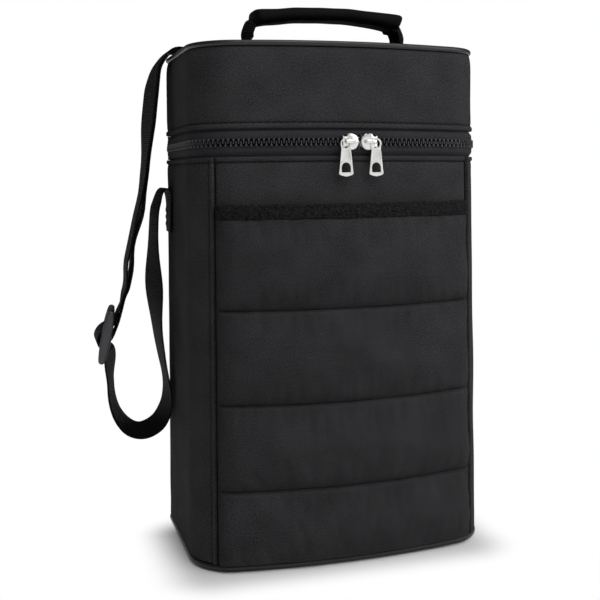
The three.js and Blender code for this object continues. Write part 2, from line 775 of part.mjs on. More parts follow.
const strapY = depth / 2 - strapFromBack;
const strapFace = width / 2 + clearance + webbing / 2;
const outLeft = (points) => points.map(([o, z]) => [-strapFace - o, z]);

// A place in the adjuster's frame: u up along the strap, n out of the bag
function atAdjuster([u, n]) {
  const [s, c] = [Math.sin(adjusterTilt), Math.cos(adjusterTilt)];
  return [-strapFace - adjusterOut + u * s - n * c, adjusterUp + u * c + n * s];
}

const layer = webbing + clearance;
const onFrame = adjusterThickness / 2 + clearance + webbing / 2;
const slotEnd = adjusterLength / 2 - adjusterEndBar;
const halfBar = adjusterMiddleBar / 2;
const ringX = width / 2 + webbing + 2 * clearance + ringBar / 2;
const ringZ = tabHigh - ringBar - ringGap / 2;
const ringTopBar = ringZ + (ringGap + ringBar) / 2;
const onRing = ringBar / 2 + clearance + webbing / 2;

// Sewn end, the free loop that hangs at the left, and up over the adjuster's middle bar
function firstLength() {
  const loop = [
    [0, tabLow],
    [0, tabLow + 14],
    [0, tabHigh - 6],
    [0.9, tabHigh],
    [3.6, tabHigh + 2.6],
    [6.4, tabHigh],
    [8.6, tabHigh - 7],
    [10.8, tabHigh - 18],
    [11.8, tabHigh - 48],
    [11.2, 171],
    [9.4, 145],
    [6.4, 123],
    [3.4, 106],
    [2.4, 93],
    [4.4, 80.5],
    [11, 70.5],
    [21.5, 66.8],
    [32, 71.5],
    [39.6, 83],
    [43.4, 98],
  ];
  const weave = [
    [-slotEnd - 6, -onFrame - 0.1],
    [-slotEnd - 0.4, -onFrame],
    [-slotEnd + 3.5, -0.9],
    [-halfBar - 3.2, 1.5],
    [-halfBar - 1.6, onFrame + 1],
    [-halfBar + 1, onFrame + layer],
    [halfBar - 0.4, onFrame + layer],
    [halfBar + 1.6, onFrame + 0.8],
    [halfBar + 3.6, 1.7],
    [slotEnd - 2.4, -0.9],
    [slotEnd + 0.2, -onFrame],
    [slotEnd + 5, -onFrame - 0.1],
  ].map(atAdjuster);
  return smooth([...outLeft(loop), ...weave], 2);
}

// Middle line of the two layers that run from the adjuster over the lid to the ring
function doubledLine() {
  const rest = height + clearance + webbing / 2 + layer / 2;
  const edge = width / 2;
  const climb = (t) => THREE.MathUtils.lerp(adjusterUp + slotEnd, bodyTop, t);
  const overPiping = (angle, beyond) => {
    const r = topPipingRadius + clearance + webbing + layer / 2 + beyond;
    return [edge - topPipingInset + r * Math.cos(angle), topPipingZ + r * Math.sin(angle)];
  };
  return smooth(
    [
      atAdjuster([slotEnd + 9, -onFrame - layer]),
      ...outLeft([
        [adjusterOut * 0.74, climb(0.22)],
        [adjusterOut * 0.61, climb(0.46)],
        [adjusterOut * 0.465, climb(0.69)],
        [adjusterOut * 0.38, climb(0.94)],
        [14.8, lidBottom + 0.07 * lidHeight],
        [12.6, lidBottom + 0.45 * lidHeight],
        [10.8, lidBottom + 0.67 * lidHeight],
        [7.2, lidBottom + 0.88 * lidHeight],
      ]),
      [-edge + 1, rest + 1.75],
      [-edge + 12, rest + 2.4],
      [-edge + 34, rest + 0.5],
      [-edge / 3, rest],
      [edge / 3, rest],
      [edge - 14, rest],
      overPiping(1.5, 0.15),
      overPiping(0.8, 0.25),
      overPiping(0.1, 0.6),
      [edge + 5, lidBottom + 0.7 * lidHeight],
      [edge + 5.6, lidBottom],
      [ringX + 0.5, bodyTop - 8],
      [ringX, ringTopBar + 6],
    ],
    2,
  );
}

function offsetLine(line, gap) {
  return line.map((p, i) => {
    const before = line[Math.max(i - 1, 0)];
    const after = line[Math.min(i + 1, line.length - 1)];
    const along = after.clone().sub(before).normalize();
    const g = gap(i / (line.length - 1));
    return new THREE.Vector2(p.x - along.y * g, p.y + along.x * g);
  });
}

// Half the distance between the two layers, from the adjuster (0) to the ring (1)
function layerGap(t) {
  const slack = 1.3 * Math.exp(-(((t - 0.12) / 0.09) ** 2));
  return layer / 2 + 0.05 + slack + (onRing - layer / 2) * THREE.MathUtils.smoothstep(t, 0.86, 1);
}

function strapLine() {
  const middle = doubledLine();
  const outer = offsetLine(middle, layerGap);
  const inner = offsetLine(middle, (t) => -layerGap(t)).reverse();
  const turn = arc(ringX, ringTopBar, onRing + 0.05, 0, -Math.PI, 6);
  const corner = adjusterThickness / 2;
  const low = -halfBar;
  const round = (side) => {
    const [from, to] = side < 0 ? [-quarter, -Math.PI] : [Math.PI, quarter];
    return arc(low, side * corner, clearance + webbing / 2 + 0.03, from, to, 2).map((p) => [p.x, p.y]);
  };
  const wrap = [
    [slotEnd + 5, -onFrame - 2 * layer - 0.1],
    [slotEnd + 0.5, -onFrame - 2 * layer - 0.2],
    [slotEnd - 2.8, -onFrame - layer - 1.1],
    [halfBar + 3.2, -onFrame - 0.6],
    [halfBar + 1, -onFrame - 0.05],
    ...round(-1),
    ...round(1),
    [halfBar - 0.4, onFrame],
    [halfBar + 1, 1.85],
    [halfBar + 2.7, 0.5],
    [slotEnd - 3.4, -2.35],
    [slotEnd - 0.8, -onFrame - layer + 0.15],
    [slotEnd + 1, -onFrame - layer - 0.1],
    [slotEnd + 4.4, -onFrame - layer - 0.1],
  ].map((p) => new THREE.Vector2(...atAdjuster(p)));
  return [...firstLength(), ...outer, ...turn, ...inner, ...wrap];
}

// Rectangle with rounded corners, from its half sizes
function roundedBox(a, b, r, steps = 2) {
  return [
    ...arc(a - r, b - r, r, 0, quarter, steps),
    ...arc(r - a, b - r, r, quarter, 2 * quarter, steps),
    ...arc(r - a, r - b, r, 2 * quarter, 3 * quarter, steps),
    ...arc(a - r, r - b, r, 3 * quarter, 4 * quarter, steps),
  ];
}

function makeAdjuster() {
  const body = prism(roundedBox(adjusterWidth / 2, adjusterLength / 2, 3, 3), 0, adjusterThickness);
  const middle = (slotEnd + halfBar) / 2;
  const slots = [-middle, middle].map((y) => {
    const slot = roundedBox(strapWidth / 2 + 1, (slotEnd - halfBar) / 2, 1);
    return prism(slot, -1, adjusterThickness + 1).translate(0, y, 0);
  });
  const geometry = cut(body, ...slots).translate(0, 0, -adjusterThickness / 2);
  const slide = add("strap_adjuster", geometry.rotateX(quarter).rotateZ(-quarter), "plastic");
  const [x, z] = atAdjuster([0, 0]);
  slide.position.set(x, strapY, z);
  slide.rotation.y = adjusterTilt;
}

// Rectangular ring of round wire
function makeRing() {
  const path = roundedBox(strapWidth / 2 + 1 + ringBar / 2, (ringGap + ringBar) / 2, 3, 3);
  const rings = path.map((p, i) => {
    const before = path[(i + path.length - 1) % path.length];
    const after = path[(i + 1) % path.length];
    const along = after.clone().sub(before).normalize();
    return Array.from({ length: 6 }, (_, k) => {
      const a = (2 * Math.PI * (k + 0.5)) / 6;
      const side = (ringBar / 2) * Math.cos(a);
      return new THREE.Vector3((ringBar / 2) * Math.sin(a), p.x + along.y * side, p.y - along.x * side);
    });
  });
  add("strap_ring", loft(rings, true), "nickel").position.set(ringX, strapY, ringZ);
}

function makeStrap() {
  const [y0, y1] = [strapY - strapWidth / 2, strapY + strapWidth / 2];
  add("strap_webbing", slab(ribbon(strapLine(), webbing), y0, y1), "webbing");
  add("strap_tab", slab(ribbon(tabLine(), webbing), y0, y1), "webbing");
  makeAdjuster();
  makeRing();
}

// Short length of webbing that holds the ring on the right side
function tabLine() {
  const lowBar = ringZ - (ringGap + ringBar) / 2;
  const outer = strapFace + layer;
  const ends = [
    [outer + 0.5, lowBar - 0.21 * tabLength],
    [outer, lowBar - 0.38 * tabLength],
    [outer, lowBar - 0.84 * tabLength],
  ];
  return [
    new THREE.Vector2(strapFace, lowBar - tabLength),
    new THREE.Vector2(strapFace, lowBar - 3),
    ...arc(ringX, lowBar, onRing + 0.05, Math.PI, -0.5, 6),
    ...ends.map(([x, z]) => new THREE.Vector2(x, z)),
  ];
}

const lid = new THREE.Group();
lid.name = "lid";
bag.add(lid);

makeWalls();
makeBase();
makePocket();
makeLid(lid);
makeZip(lid);
makeHinge();
makeSliders();
makeHandle(lid);
makeStrap();

export default bag;
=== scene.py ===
# Zip-topped padded carrying bag: fabric, quilting, zip, handle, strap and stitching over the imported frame.
# Lengths in the code are millimetres, turned into Blender's metres where a point is made.

import math
import random

import bmesh
import bpy
from mathutils import Matrix, Vector


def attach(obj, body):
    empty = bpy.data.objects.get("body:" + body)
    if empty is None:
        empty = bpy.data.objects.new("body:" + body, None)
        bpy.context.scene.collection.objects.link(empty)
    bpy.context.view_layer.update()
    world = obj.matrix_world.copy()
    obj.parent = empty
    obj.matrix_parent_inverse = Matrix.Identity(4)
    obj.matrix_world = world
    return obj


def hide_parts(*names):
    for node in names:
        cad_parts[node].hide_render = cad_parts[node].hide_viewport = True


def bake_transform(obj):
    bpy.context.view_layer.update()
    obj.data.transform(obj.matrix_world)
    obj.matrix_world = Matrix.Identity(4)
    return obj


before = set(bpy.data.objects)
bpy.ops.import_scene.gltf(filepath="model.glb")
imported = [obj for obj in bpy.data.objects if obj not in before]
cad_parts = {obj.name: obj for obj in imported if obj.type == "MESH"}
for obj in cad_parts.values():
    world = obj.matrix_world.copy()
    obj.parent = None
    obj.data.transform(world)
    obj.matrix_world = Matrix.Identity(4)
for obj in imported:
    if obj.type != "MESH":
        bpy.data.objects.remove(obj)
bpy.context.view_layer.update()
MM = 0.001

# Camera, fitted to the photograph: a little to the left of the front,
# and turned half a degree in its own plane


def make_camera():
    lens = bpy.data.cameras.new("camera")
    lens.sensor_width = 36
    lens.lens = 59.083
    lens.shift_y = -0.2189
    lens.clip_start = 0.01
    camera = bpy.data.objects.new("camera", lens)
    camera.location = (-0.2176, -0.6734, 0.2579)
    camera.rotation_euler = (math.radians(90), math.radians(0.525), math.radians(-16.762))
    bpy.context.collection.objects.link(camera)
    bpy.context.scene.camera = camera


make_camera()

# Sizes: the solids' own, as in the part's source, and those of what only the cloth has

WIDTH = 204
DEPTH = 131
HEIGHT = 340
FRONT_CORNER_R = 31
BACK_CORNER_R = 19
SEAM_X = 88.2
FRONT_R = 440
CLEARANCE = 0.3  # between pieces that lie on each other
FABRIC = 1.2
LINING = 0.8
FOAM = 4
WEBBING = 1.2
TAPE = 0.7
LID_BOTTOM = HEIGHT - 57.5
BODY_TOP = LID_BOTTOM - 17.7
ZIP_Z = (LID_BOTTOM + BODY_TOP) / 2
WALL_BOTTOM = 5.1
LID_TOP = 337.2
LID_WALL_TOP = LID_TOP - FABRIC - CLEARANCE
FOAM_INSET = FABRIC + CLEARANCE
LINING_INSET = FOAM_INSET + FOAM + CLEARANCE
TAPE_INSET = FABRIC + CLEARANCE + TAPE / 2  # of the tape's middle, where fabric covers it
POCKET_MOUTH = BODY_TOP - 30
POCKET_SLACK = 6.6  # how far the pocket's mouth stands off the wall
POCKET_PUFF = 2.6  # loft of a quilted channel
QUILT_SEAMS = (52, 107, 167.5)
BINDING_LOW = POCKET_MOUTH - 9.4
HEM = 3.3  # folded hem, from its edge to its stitching
LID_HEM = 3.7
SEAM_GAP = 0.6  # from a seam to the edge of the cloth beside it
TOP_INSET, BASE_INSET = 3.7, 4.2  # of the flat cloths inside the piping
TOP_PIPING = (1.4, 338, 2)  # inset, height and radius
BASE_PIPING = (1.65, 2.55, 2.25)
BOW = 1.7  # the most that the zip and the lid bow up
BOW_FROM = 280  # height up to which the bow grows

CORNER_X = WIDTH / 2 - FRONT_CORNER_R
FRONT_Y = FRONT_R - DEPTH / 2
FRONT_CORNER_Y = FRONT_Y - math.sqrt((FRONT_R - FRONT_CORNER_R) ** 2 - CORNER_X**2)
BACK_CORNER_X = WIDTH / 2 - BACK_CORNER_R
BACK_CORNER_Y = DEPTH / 2 - BACK_CORNER_R
FRONT_ANGLE = math.asin(CORNER_X / (FRONT_R - FRONT_CORNER_R))

# Lengths along half of the wall's outline, from the middle of the front to the middle of the back
FRONT = FRONT_R * FRONT_ANGLE
CORNER = FRONT_CORNER_R * (math.pi / 2 - FRONT_ANGLE)
SIDE = BACK_CORNER_Y - FRONT_CORNER_Y
BACK_SEAM = FRONT + CORNER + SIDE + BACK_CORNER_R * math.pi / 2
HALF = BACK_SEAM + BACK_CORNER_X
SEAM = FRONT + FRONT_CORNER_R * (math.asin((SEAM_X - CORNER_X) / FRONT_CORNER_R) - FRONT_ANGLE)


def bell(d, width):
    """1 at d = 0, and falling off evenly to both sides."""
    return math.exp(-((d / width) ** 2))


def lifted(s, z):
    """The lid and the soft edges at the zip bow up a little over the front."""
    above = z - BOW_FROM
    share = 1 - 0.25 * smoothstep(above / 58) if z > BOW_FROM else bell(above, 28)
    return z + BOW * share * bell(s + 20, 110)


def spot(s, n, z):
    """The point s along the wall's outline from the middle of the front, n out of the wall, at height z."""
    s = (s + HALF) % (2 * HALF) - HALF
    z = lifted(s, z)
    side = -1 if s < 0 else 1
    s = abs(s)
    if s <= FRONT:
        a = s / FRONT_R
        x, y = (FRONT_R + n) * math.sin(a), FRONT_Y - (FRONT_R + n) * math.cos(a)
    elif s <= FRONT + CORNER:
        a = FRONT_ANGLE + (s - FRONT) / FRONT_CORNER_R
        x = CORNER_X + (FRONT_CORNER_R + n) * math.sin(a)
        y = FRONT_CORNER_Y - (FRONT_CORNER_R + n) * math.cos(a)
    elif s <= FRONT + CORNER + SIDE:
        x, y = WIDTH / 2 + n, FRONT_CORNER_Y + s - FRONT - CORNER
    elif s <= BACK_SEAM:
        a = (s - FRONT - CORNER - SIDE) / BACK_CORNER_R
        x = BACK_CORNER_X + (BACK_CORNER_R + n) * math.cos(a)
        y = BACK_CORNER_Y + (BACK_CORNER_R + n) * math.sin(a)
    else:
        x, y = BACK_CORNER_X - (s - BACK_SEAM), DEPTH / 2 + n
    return Vector((side * x * MM, y * MM, z * MM))


def outward(s):
    return (spot(s, 1, 0) - spot(s, 0, 0)).normalized()


def spaced(low, high, step):
    """Evenly spaced values from low to high, at most step apart."""
    count = max(1, math.ceil((high - low) / step - 1e-6))
    return [low + (high - low) * i / count for i in range(count + 1)]


def smoothstep(t):
    t = min(1, max(0, t))
    return t * t * (3 - 2 * t)


def circle(count):
    """The cosines and sines of evenly spaced angles."""
    angles = [2 * math.pi * k / count for k in range(count)]
    return [(math.cos(a), math.sin(a)) for a in angles]


def arc(cx, cy, r, start, end, count):
    """Points of an arc from one angle to another, in degrees."""
    turns = [math.radians(start + (end - start) * i / count) for i in range(count + 1)]
    return [(cx + r * math.cos(a), cy + r * math.sin(a)) for a in turns]


def rounded(centres, r, count):
    """An outline of four quarter arcs round their centres, from the upper right one to the left."""
    return [p for k, (x, y) in enumerate(centres) for p in arc(x, y, r, 90 * k, 90 * k + 90, count)]


def blunt(value, power):
    """A power that keeps the sign: it makes a round section boxier."""
    return math.copysign(abs(value) ** power, value)


def with_ends(low, high, ends, first, step):
    """Places from low to high: set ones by both ends, and between them ones at most step apart."""
    inner = spaced(low + first, high - first, step)
    return [low + e for e in ends] + inner + [high - e for e in reversed(ends)]


def unevenness(seed, size, amount):
    """Slow waves over a wall, as fabric over foam has, for lengths of about size."""
    rng = random.Random(seed)
    waves = [(rng.uniform(-7, 7) / size, rng.uniform(-7, 7) / size, rng.uniform(0, 7)) for _ in range(9)]
    return lambda s, z: amount / 3 * sum(math.sin(a * s + b * z + c) for a, b, c in waves)


# Materials


def linear(code):
    """An sRGB hex colour as linear red, green, blue and alpha."""
    parts = [int(code[i : i + 2], 16) / 255 for i in (1, 3, 5)]
    return [p / 12.92 if p <= 0.04045 else ((p + 0.055) / 1.055) ** 2.4 for p in parts] + [1]


def add_node(tree, kind, inputs=None, **settings):
    """A node with its settings; an input takes a value, a socket, or another node for its first output."""
    node = tree.nodes.new(kind)
    for key, value in settings.items():
        setattr(node, key, value)
    for key, value in (inputs or {}).items():
        if isinstance(value, bpy.types.Node):
            value = value.outputs[0]
        if isinstance(value, bpy.types.NodeSocket):
            tree.links.new(value, node.inputs[key])
        else:
            node.inputs[key].default_value = value
    return node


def new_material(name, **sockets):
    """A material with a bare Principled surface, its constant values on the surface's own sockets."""
    material = bpy.data.materials.new(name)
    material.use_nodes = True
    tree = material.node_tree
    surface = tree.nodes["Principled BSDF"]
    for key, value in sockets.items():
        surface.inputs[key.replace("_", " ")].default_value = value
    return material, tree, surface


def scale_for(size):
    """A pattern's scale for features of a size in millimetres."""
    return 1 / (size * MM)


def colour_and_relief(tree, surface, low, high, shade, height, depth):
    """The colour runs from low to high with shade, and height is the relief, depth millimetres deep."""
    mix = add_node(tree, "ShaderNodeMix", {0: shade, 6: linear(low), 7: linear(high)}, data_type="RGBA")
    tree.links.new(mix.outputs[2], surface.inputs["Base Color"])
    bump = add_node(tree, "ShaderNodeBump", {"Height": height, "Distance": depth * MM})
    tree.links.new(bump.outputs[0], surface.inputs["Normal"])


def woven(name, low, high, pitch, slope, depth, mottle=0.4, **sockets):
    """Cloth on its own UV map, in metres: lines of yarn at a slope, pitch millimetres apart and broken into
    humps, with uneven yarns of 1.1 mm and the 25 mm mottle that light cloth over foam shows."""
    material, tree, surface = new_material(name, **sockets)
    uv = add_node(tree, "ShaderNodeUVMap", uv_map="cloth")
    turned = add_node(tree, "ShaderNodeMapping", {"Vector": uv, "Rotation": (0, 0, math.radians(slope))})
    bands = math.pi / 10 / (pitch * MM)
    lines = add_node(
        tree, "ShaderNodeTexWave", {"Vector": turned, "Scale": bands, "Distortion": 2.4, "Detail": 3.0}
    )
    broken = {"Vector": turned, "Scale": bands / 1.2, "Distortion": 2.4, "Detail": 3.0}
    humps = add_node(tree, "ShaderNodeTexWave", broken, bands_direction="Y")
    yarn = add_node(tree, "ShaderNodeTexNoise", {"Vector": uv, "Scale": scale_for(1.111), "Detail": 2})
    slow = add_node(tree, "ShaderNodeTexNoise", {"Vector": uv, "Scale": scale_for(25), "Detail": 3})
    height = add_node(
        tree, "ShaderNodeMath", {0: yarn, 1: 0.9, 2: -mottle / 2 - 0.22}, operation="MULTIPLY_ADD"
    )
    height = add_node(tree, "ShaderNodeMath", {0: lines, 1: 0.3, 2: height}, operation="MULTIPLY_ADD")
    height = add_node(tree, "ShaderNodeMath", {0: humps, 1: 0.2, 2: height}, operation="MULTIPLY_ADD")
    shade = add_node(tree, "ShaderNodeMath", {0: slow, 1: mottle, 2: height}, operation="MULTIPLY_ADD")
    colour_and_relief(tree, surface, low, high, shade, height, depth)
    return material


def grained(name, low, high, kind, size, depth, stretch=(1, 1, 1), **sockets):
    """A moulded, cast or pressed stuff with one fine grain, its size and depth in millimetres, and with
    softer streaks in its colour, seven times as wide."""
    material, tree, surface = new_material(name, **sockets)
    place = add_node(tree, "ShaderNodeTexCoord").outputs["Object"]
    drawn = add_node(tree, "ShaderNodeMapping", {"Vector": place, "Scale": stretch})
    grain = add_node(tree, kind, {"Vector": drawn, "Scale": scale_for(size)})
    wide = {"Vector": drawn, "Scale": scale_for(7 * size), "Detail": 4}
    streaks = add_node(tree, "ShaderNodeTexNoise", wide)
    shade = add_node(tree, "ShaderNodeMath", {0: grain, 1: 0.5, 2: streaks}, operation="MULTIPLY_ADD")
    shade = add_node(tree, "ShaderNodeMath", {0: shade, 1: 0.25}, operation="SUBTRACT")
    colour_and_relief(tree, surface, low, high, shade, grain, depth)
    # Worn places are a little duller than the rest
    dull = {0: streaks, 1: 0.12, 2: sockets["Roughness"] - 0.06}
    rough = add_node(tree, "ShaderNodeMath", dull, operation="MULTIPLY_ADD")
    tree.links.new(rough.outputs[0], surface.inputs["Roughness"])
    return material


# Polyester webbing: ribs across it every 1.5 mm, and uneven yarns of 1.4 mm, dull black
def ribbed_webbing():
    material, tree, surface = new_material("ribbed_polyester_webbing", Roughness=0.75, Specular_IOR_Level=0.1)
    uv = add_node(tree, "ShaderNodeUVMap", uv_map="cloth")
    across = {"Vector": uv, "Scale": math.pi / 10 / (1.5 * MM), "Distortion": 0.8, "Detail": 1.0}
    ribs = add_node(tree, "ShaderNodeTexWave", across)
    speck = add_node(tree, "ShaderNodeTexNoise", {"Vector": uv, "Scale": scale_for(1.429), "Detail": 2})
    height = add_node(tree, "ShaderNodeMath", {0: speck, 1: 0.5, 2: ribs}, operation="MULTIPLY_ADD")
    shade = add_node(tree, "ShaderNodeMath", {0: height, 1: 0.35}, operation="SUBTRACT")
    colour_and_relief(tree, surface, "#030304", "#18181a", shade, height, 0.35)
    return material


# Brushed binding tape: a dark nap of loops of 1.2 mm that scatters the light in clumps of 2 mm
def brushed_binding():
    material, tree, surface = new_material("brushed_binding_tape", Roughness=0.95, Specular_IOR_Level=0.05)
    place = add_node(tree, "ShaderNodeTexCoord").outputs["Object"]
    loops = add_node(tree, "ShaderNodeTexVoronoi", {"Vector": place, "Scale": scale_for(1.176)})
    clumps = add_node(tree, "ShaderNodeTexNoise", {"Vector": place, "Scale": scale_for(1.923), "Detail": 4})
    nap = add_node(tree, "ShaderNodeMath", {0: clumps, 1: 1.5, 2: -0.65}, operation="MULTIPLY_ADD")
    nap = add_node(tree, "ShaderNodeMath", {0: loops, 1: 0.8, 2: nap}, operation="MULTIPLY_ADD")
    colour_and_relief(tree, surface, "#050505", "#2a2a2b", nap, nap, 0.5)
    return material


def make_materials():
    noise, cells = "ShaderNodeTexNoise", "ShaderNodeTexVoronoi"
    return {
        # 600-denier polyester twill: matt, its lines at a slope.
        # The real lines of 0.8 mm are drawn at 1.1 mm, to show.
        "fabric": woven(
            "woven_polyester_twill", "#0c0c0d", "#474749", 1.1, 42, 0.25,
            Roughness=0.9, Specular_IOR_Level=0.06,
        ),
        # The same cloth for the pocket's face, with painted shade: its colour is a little darker all over the
        # quilted pocket
        "quilt": woven(
            "quilted_polyester_twill", "#0b0b0c", "#434345", 1.1, 42, 0.25,
            Roughness=0.9, Specular_IOR_Level=0.06,
        ),
        # Grey coated nylon lining: plain weave of 0.9 mm, smoother and a little glossy
        "lining": woven(
            "coated_nylon_lining", "#47494c", "#66696d", 0.9, 0, 0.05,
            Roughness=0.55, Specular_IOR_Level=0.4,
        ),
        # Polyester zip tape: fine and flat, its yarns 1 mm apart
        "tape": woven(
            "woven_zip_tape", "#1b1b1d", "#3c3c3f", 1.0, 0, 0.1,
            Roughness=0.85, Specular_IOR_Level=0.1,
        ),
        # Nylon sleeve of the handle: twill of 1.2 mm, near black
        "grip": woven(
            "handle_sleeve_nylon", "#010102", "#0f0f11", 1.2, 50, 0.25,
            Roughness=0.7, Specular_IOR_Level=0.08,
        ),
        "webbing": ribbed_webbing(),
        "binding": brushed_binding(),
        # Extruded PVC piping: smooth and half-glossy, with a faint leather grain of 1 mm
        "piping": grained(
            "extruded_pvc_piping", "#0f0f10", "#1e1e1f", cells, 1, 0.02,
            Roughness=0.42, Specular_IOR_Level=0.45,
        ),
        # Closed-cell foam sheet: matt, with cells of 0.7 mm
        "foam": grained(
            "closed_cell_foam", "#121214", "#27272a", cells, 0.714, 0.2,
            Roughness=0.94, Specular_IOR_Level=0.2,
        ),
        # Pressed grey board: matt, with fibres of 2 mm, drawn out six times as long as wide
        "board": grained(
            "pressed_grey_board", "#574f46", "#7b7167", noise, 2, 0.08, (1, 6, 6),
            Roughness=0.9, Specular_IOR_Level=0.3,
        ),
        # Moulded acetal teeth: waxy half-gloss with slight flow marks of 1.4 mm
        "teeth": grained(
            "moulded_acetal_teeth", "#1c1c1e", "#37373b", noise, 1.429, 0.02,
            Roughness=0.36, Specular_IOR_Level=0.5,
        ),
        # Nickel-plated zinc casting: bright satin, with hardly any relief in its rub marks of 0.7 mm
        "nickel": grained(
            "nickel_plated_zinc", "#d8d8d6", "#ededea", noise, 0.6667, 0.0001, (1, 1, 6),
            Roughness=0.3, Metallic=1.0,
        ),
        # Moulded acetal slide: dark grey, satin, with a spark-eroded texture of 0.4 mm
        "plastic": grained(
            "moulded_acetal_slide", "#2a2b2d", "#3e3f42", noise, 0.4167, 0.04,
            Roughness=0.42, Specular_IOR_Level=0.5,
        ),
        # Twisted polyester thread: black, with twists of 0.7 mm, a little shinier than the cloth
        "thread": grained(
            "twisted_polyester_thread", "#060607", "#161617", noise, 0.6667, 0.05,
            Roughness=0.6, Specular_IOR_Level=0.15,
        ),
    }


finishes = make_materials()

# Making pieces


def add_object(name, data):
    thing = bpy.data.objects.new(name, data)
    bpy.context.collection.objects.link(thing)
    return thing


def finish_mesh(mesh, finish, sharp):
    """Gives a mesh its one material, and smooth shading up to the angle called sharp."""
    mesh.polygons.foreach_set("use_smooth", [True] * len(mesh.polygons))
    mesh.set_sharp_from_angle(angle=math.radians(sharp))
    mesh.materials.clear()
    mesh.materials.append(finishes[finish])


def new_piece(name, points, faces, finish, uvs=None, sharp=40):
    mesh = bpy.data.meshes.new(name)
    mesh.from_pydata(points, [], faces)
    if uvs:
        layer = mesh.uv_layers.new(name="cloth")
        layer.data.foreach_set("uv", [value for corner in uvs for value in corner])
    finish_mesh(mesh, finish, sharp)
    return add_object(name, mesh)


def lengths(points):
    total = [0.0]
    for a, b in zip(points, points[1:]):
        total.append(total[-1] + (b - a).length)
    return total


def loft(name, rings, finish, closed=False, along=None, sharp=40):
    """A skin through rings of equally many points, closed on itself or filled at both ends."""
    n = len(rings[0])
    middle = rings[len(rings) // 2]
    around = lengths([*middle, middle[0]])
    if along is None:
        along = lengths([*[r[0] for r in rings], rings[0][0]])
    points = [p for ring in rings for p in ring]
    faces, uvs = [], []
    for i in range(len(rings) if closed else len(rings) - 1):
        a, b = i * n, (i + 1) % len(rings) * n
        for j in range(n):
            k = (j + 1) % n
            faces.append((a + j, b + j, b + k, a + k))
            u0, u1, v0, v1 = along[i], along[i + 1], around[j], around[j + 1]
            uvs += [(u0, v0), (u1, v0), (u1, v1), (u0, v1)]
    if not closed:
        last = (len(rings) - 1) * n
        faces += [tuple(range(n)), tuple(last + n - 1 - j for j in range(n))]
        uvs += [(p.x, p.z) for p in rings[0]] + [(p.x, p.z) for p in reversed(rings[-1])]
    return new_piece(name, points, faces, finish, uvs, sharp)


def sweep(name, body, node, places, section, finish, closed=False, sharp=40):
    """A piece in place of a node: its section, as (n, z) for each s, run along the wall's outline."""
    rings = [[spot(s, n, z) for n, z in section(s)] for s in places]
    along = [s * MM for s in places]
    if closed:
        along.append(along[0] + 2 * HALF * MM)
    return stand_for(loft(name, rings, finish, closed, along, sharp), body, finish, node)


def stand_for(piece, body, slot, *nodes):
    """The finished piece rides on a body in place of CAD nodes."""
    if nodes:
        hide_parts(*nodes)
    if body:
        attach(piece, body)
    return piece


def evaluated(piece):
    """The piece as its modifiers make it."""
    return piece.evaluated_get(bpy.context.evaluated_depsgraph_get())


def plain_mesh(piece):
    """Turns a piece and its modifiers into a plain mesh."""
    mesh = bpy.data.meshes.new_from_object(evaluated(piece))
    mesh.name = piece.name
    piece.modifiers.clear()
    piece.data = mesh
    return piece


# Walls


def folded(d, rise=0.75, width=HEM):
    """Height of a folded and topstitched edge at d from the fold: a flat roll, then a dent at the thread."""
    if d < 0:
        return 0
    roll = rise * min(1, d / 0.8) ** 0.5 * (1 - smoothstep((d - width + 0.8) / 0.9))
    return roll - 0.8 * bell(d - width, 0.7)


def sheet_section(outer, low, high, back, step=4, near=None):
    """Section of a fabric wall: up its outer face, over a rounded edge and down its inner face."""
    heights = sorted({*spaced(low + 0.45, high - 0.45, step), *(near or [])})
    face = [(outer(z), z) for z in heights]
    top, bottom = outer(high - 0.45), outer(low + 0.45)
    inner = [(-FABRIC, z) for z in reversed(spaced(low + 0.45, high - 0.45, back))]
    over = [(top - 0.2, high - 0.1), ((top - FABRIC) / 2, high), (-FABRIC + 0.2, high - 0.1)]
    under = [(-FABRIC + 0.2, low + 0.1), ((bottom - FABRIC) / 2, low), (bottom - 0.2, low + 0.1)]
    return face + over + inner + under


def close_to(edge, way, width=HEM):
    """Heights that draw a folded hem that starts at an edge."""
    stitching = (width - 0.7, width - 0.3, width, width + 0.4, width + 0.9)
    return [edge + way * d for d in (0.45, 0.8, 1.2, 1.8, *stitching)]


def pinched(section, d):
    """A section's rounded end, d from the cloth's cut edge."""
    keep = math.sqrt(max(0.12, 1 - (1 - min(1, d / 0.7)) ** 2))
    return [(-FABRIC / 2 + (n + FABRIC / 2) * keep, z) for n, z in section]


def end_places(low, high, step):
    """Places along a wall, with more of them at its topstitched ends."""
    ends = [0, 0.2, 0.45, 0.8, 1.4, 2.2, 2.7, 3.0, 3.3, 3.7, 4.2, 5]
    return with_ends(low, high, ends, 6.5, step)


def make_body_wall(node, places, outer, step=4, cut=None):
    """A wall of the body: outer gives its face at (s, z), and cut how far s is from the cloth's cut edge."""
    near = close_to(BODY_TOP, -1)

    def section(s):
        ring = sheet_section(lambda z: outer(s, z), WALL_BOTTOM, BODY_TOP, 60, step, near)
        return pinched(ring, cut(s)) if cut else ring

    sweep(f"{node}_cloth", "bag", node, places, section, "fabric")


def make_front_panel():
    uneven = unevenness(3, 60, 0.22)

    def outer(s, z):
        free = smoothstep((z - POCKET_MOUTH - 4) / 10) * smoothstep((SEAM - abs(s)) / 8)
        groove = -0.9 * bell(SEAM - abs(s), 1.1)
        return folded(BODY_TOP - z) + groove + uneven(s, z) * free

    places = with_ends(-SEAM + SEAM_GAP, SEAM - SEAM_GAP, [0, 0.5, 1, 1.6, 2.4, 3.4], 5, 2.5)
    make_body_wall("front_panel", places, outer)


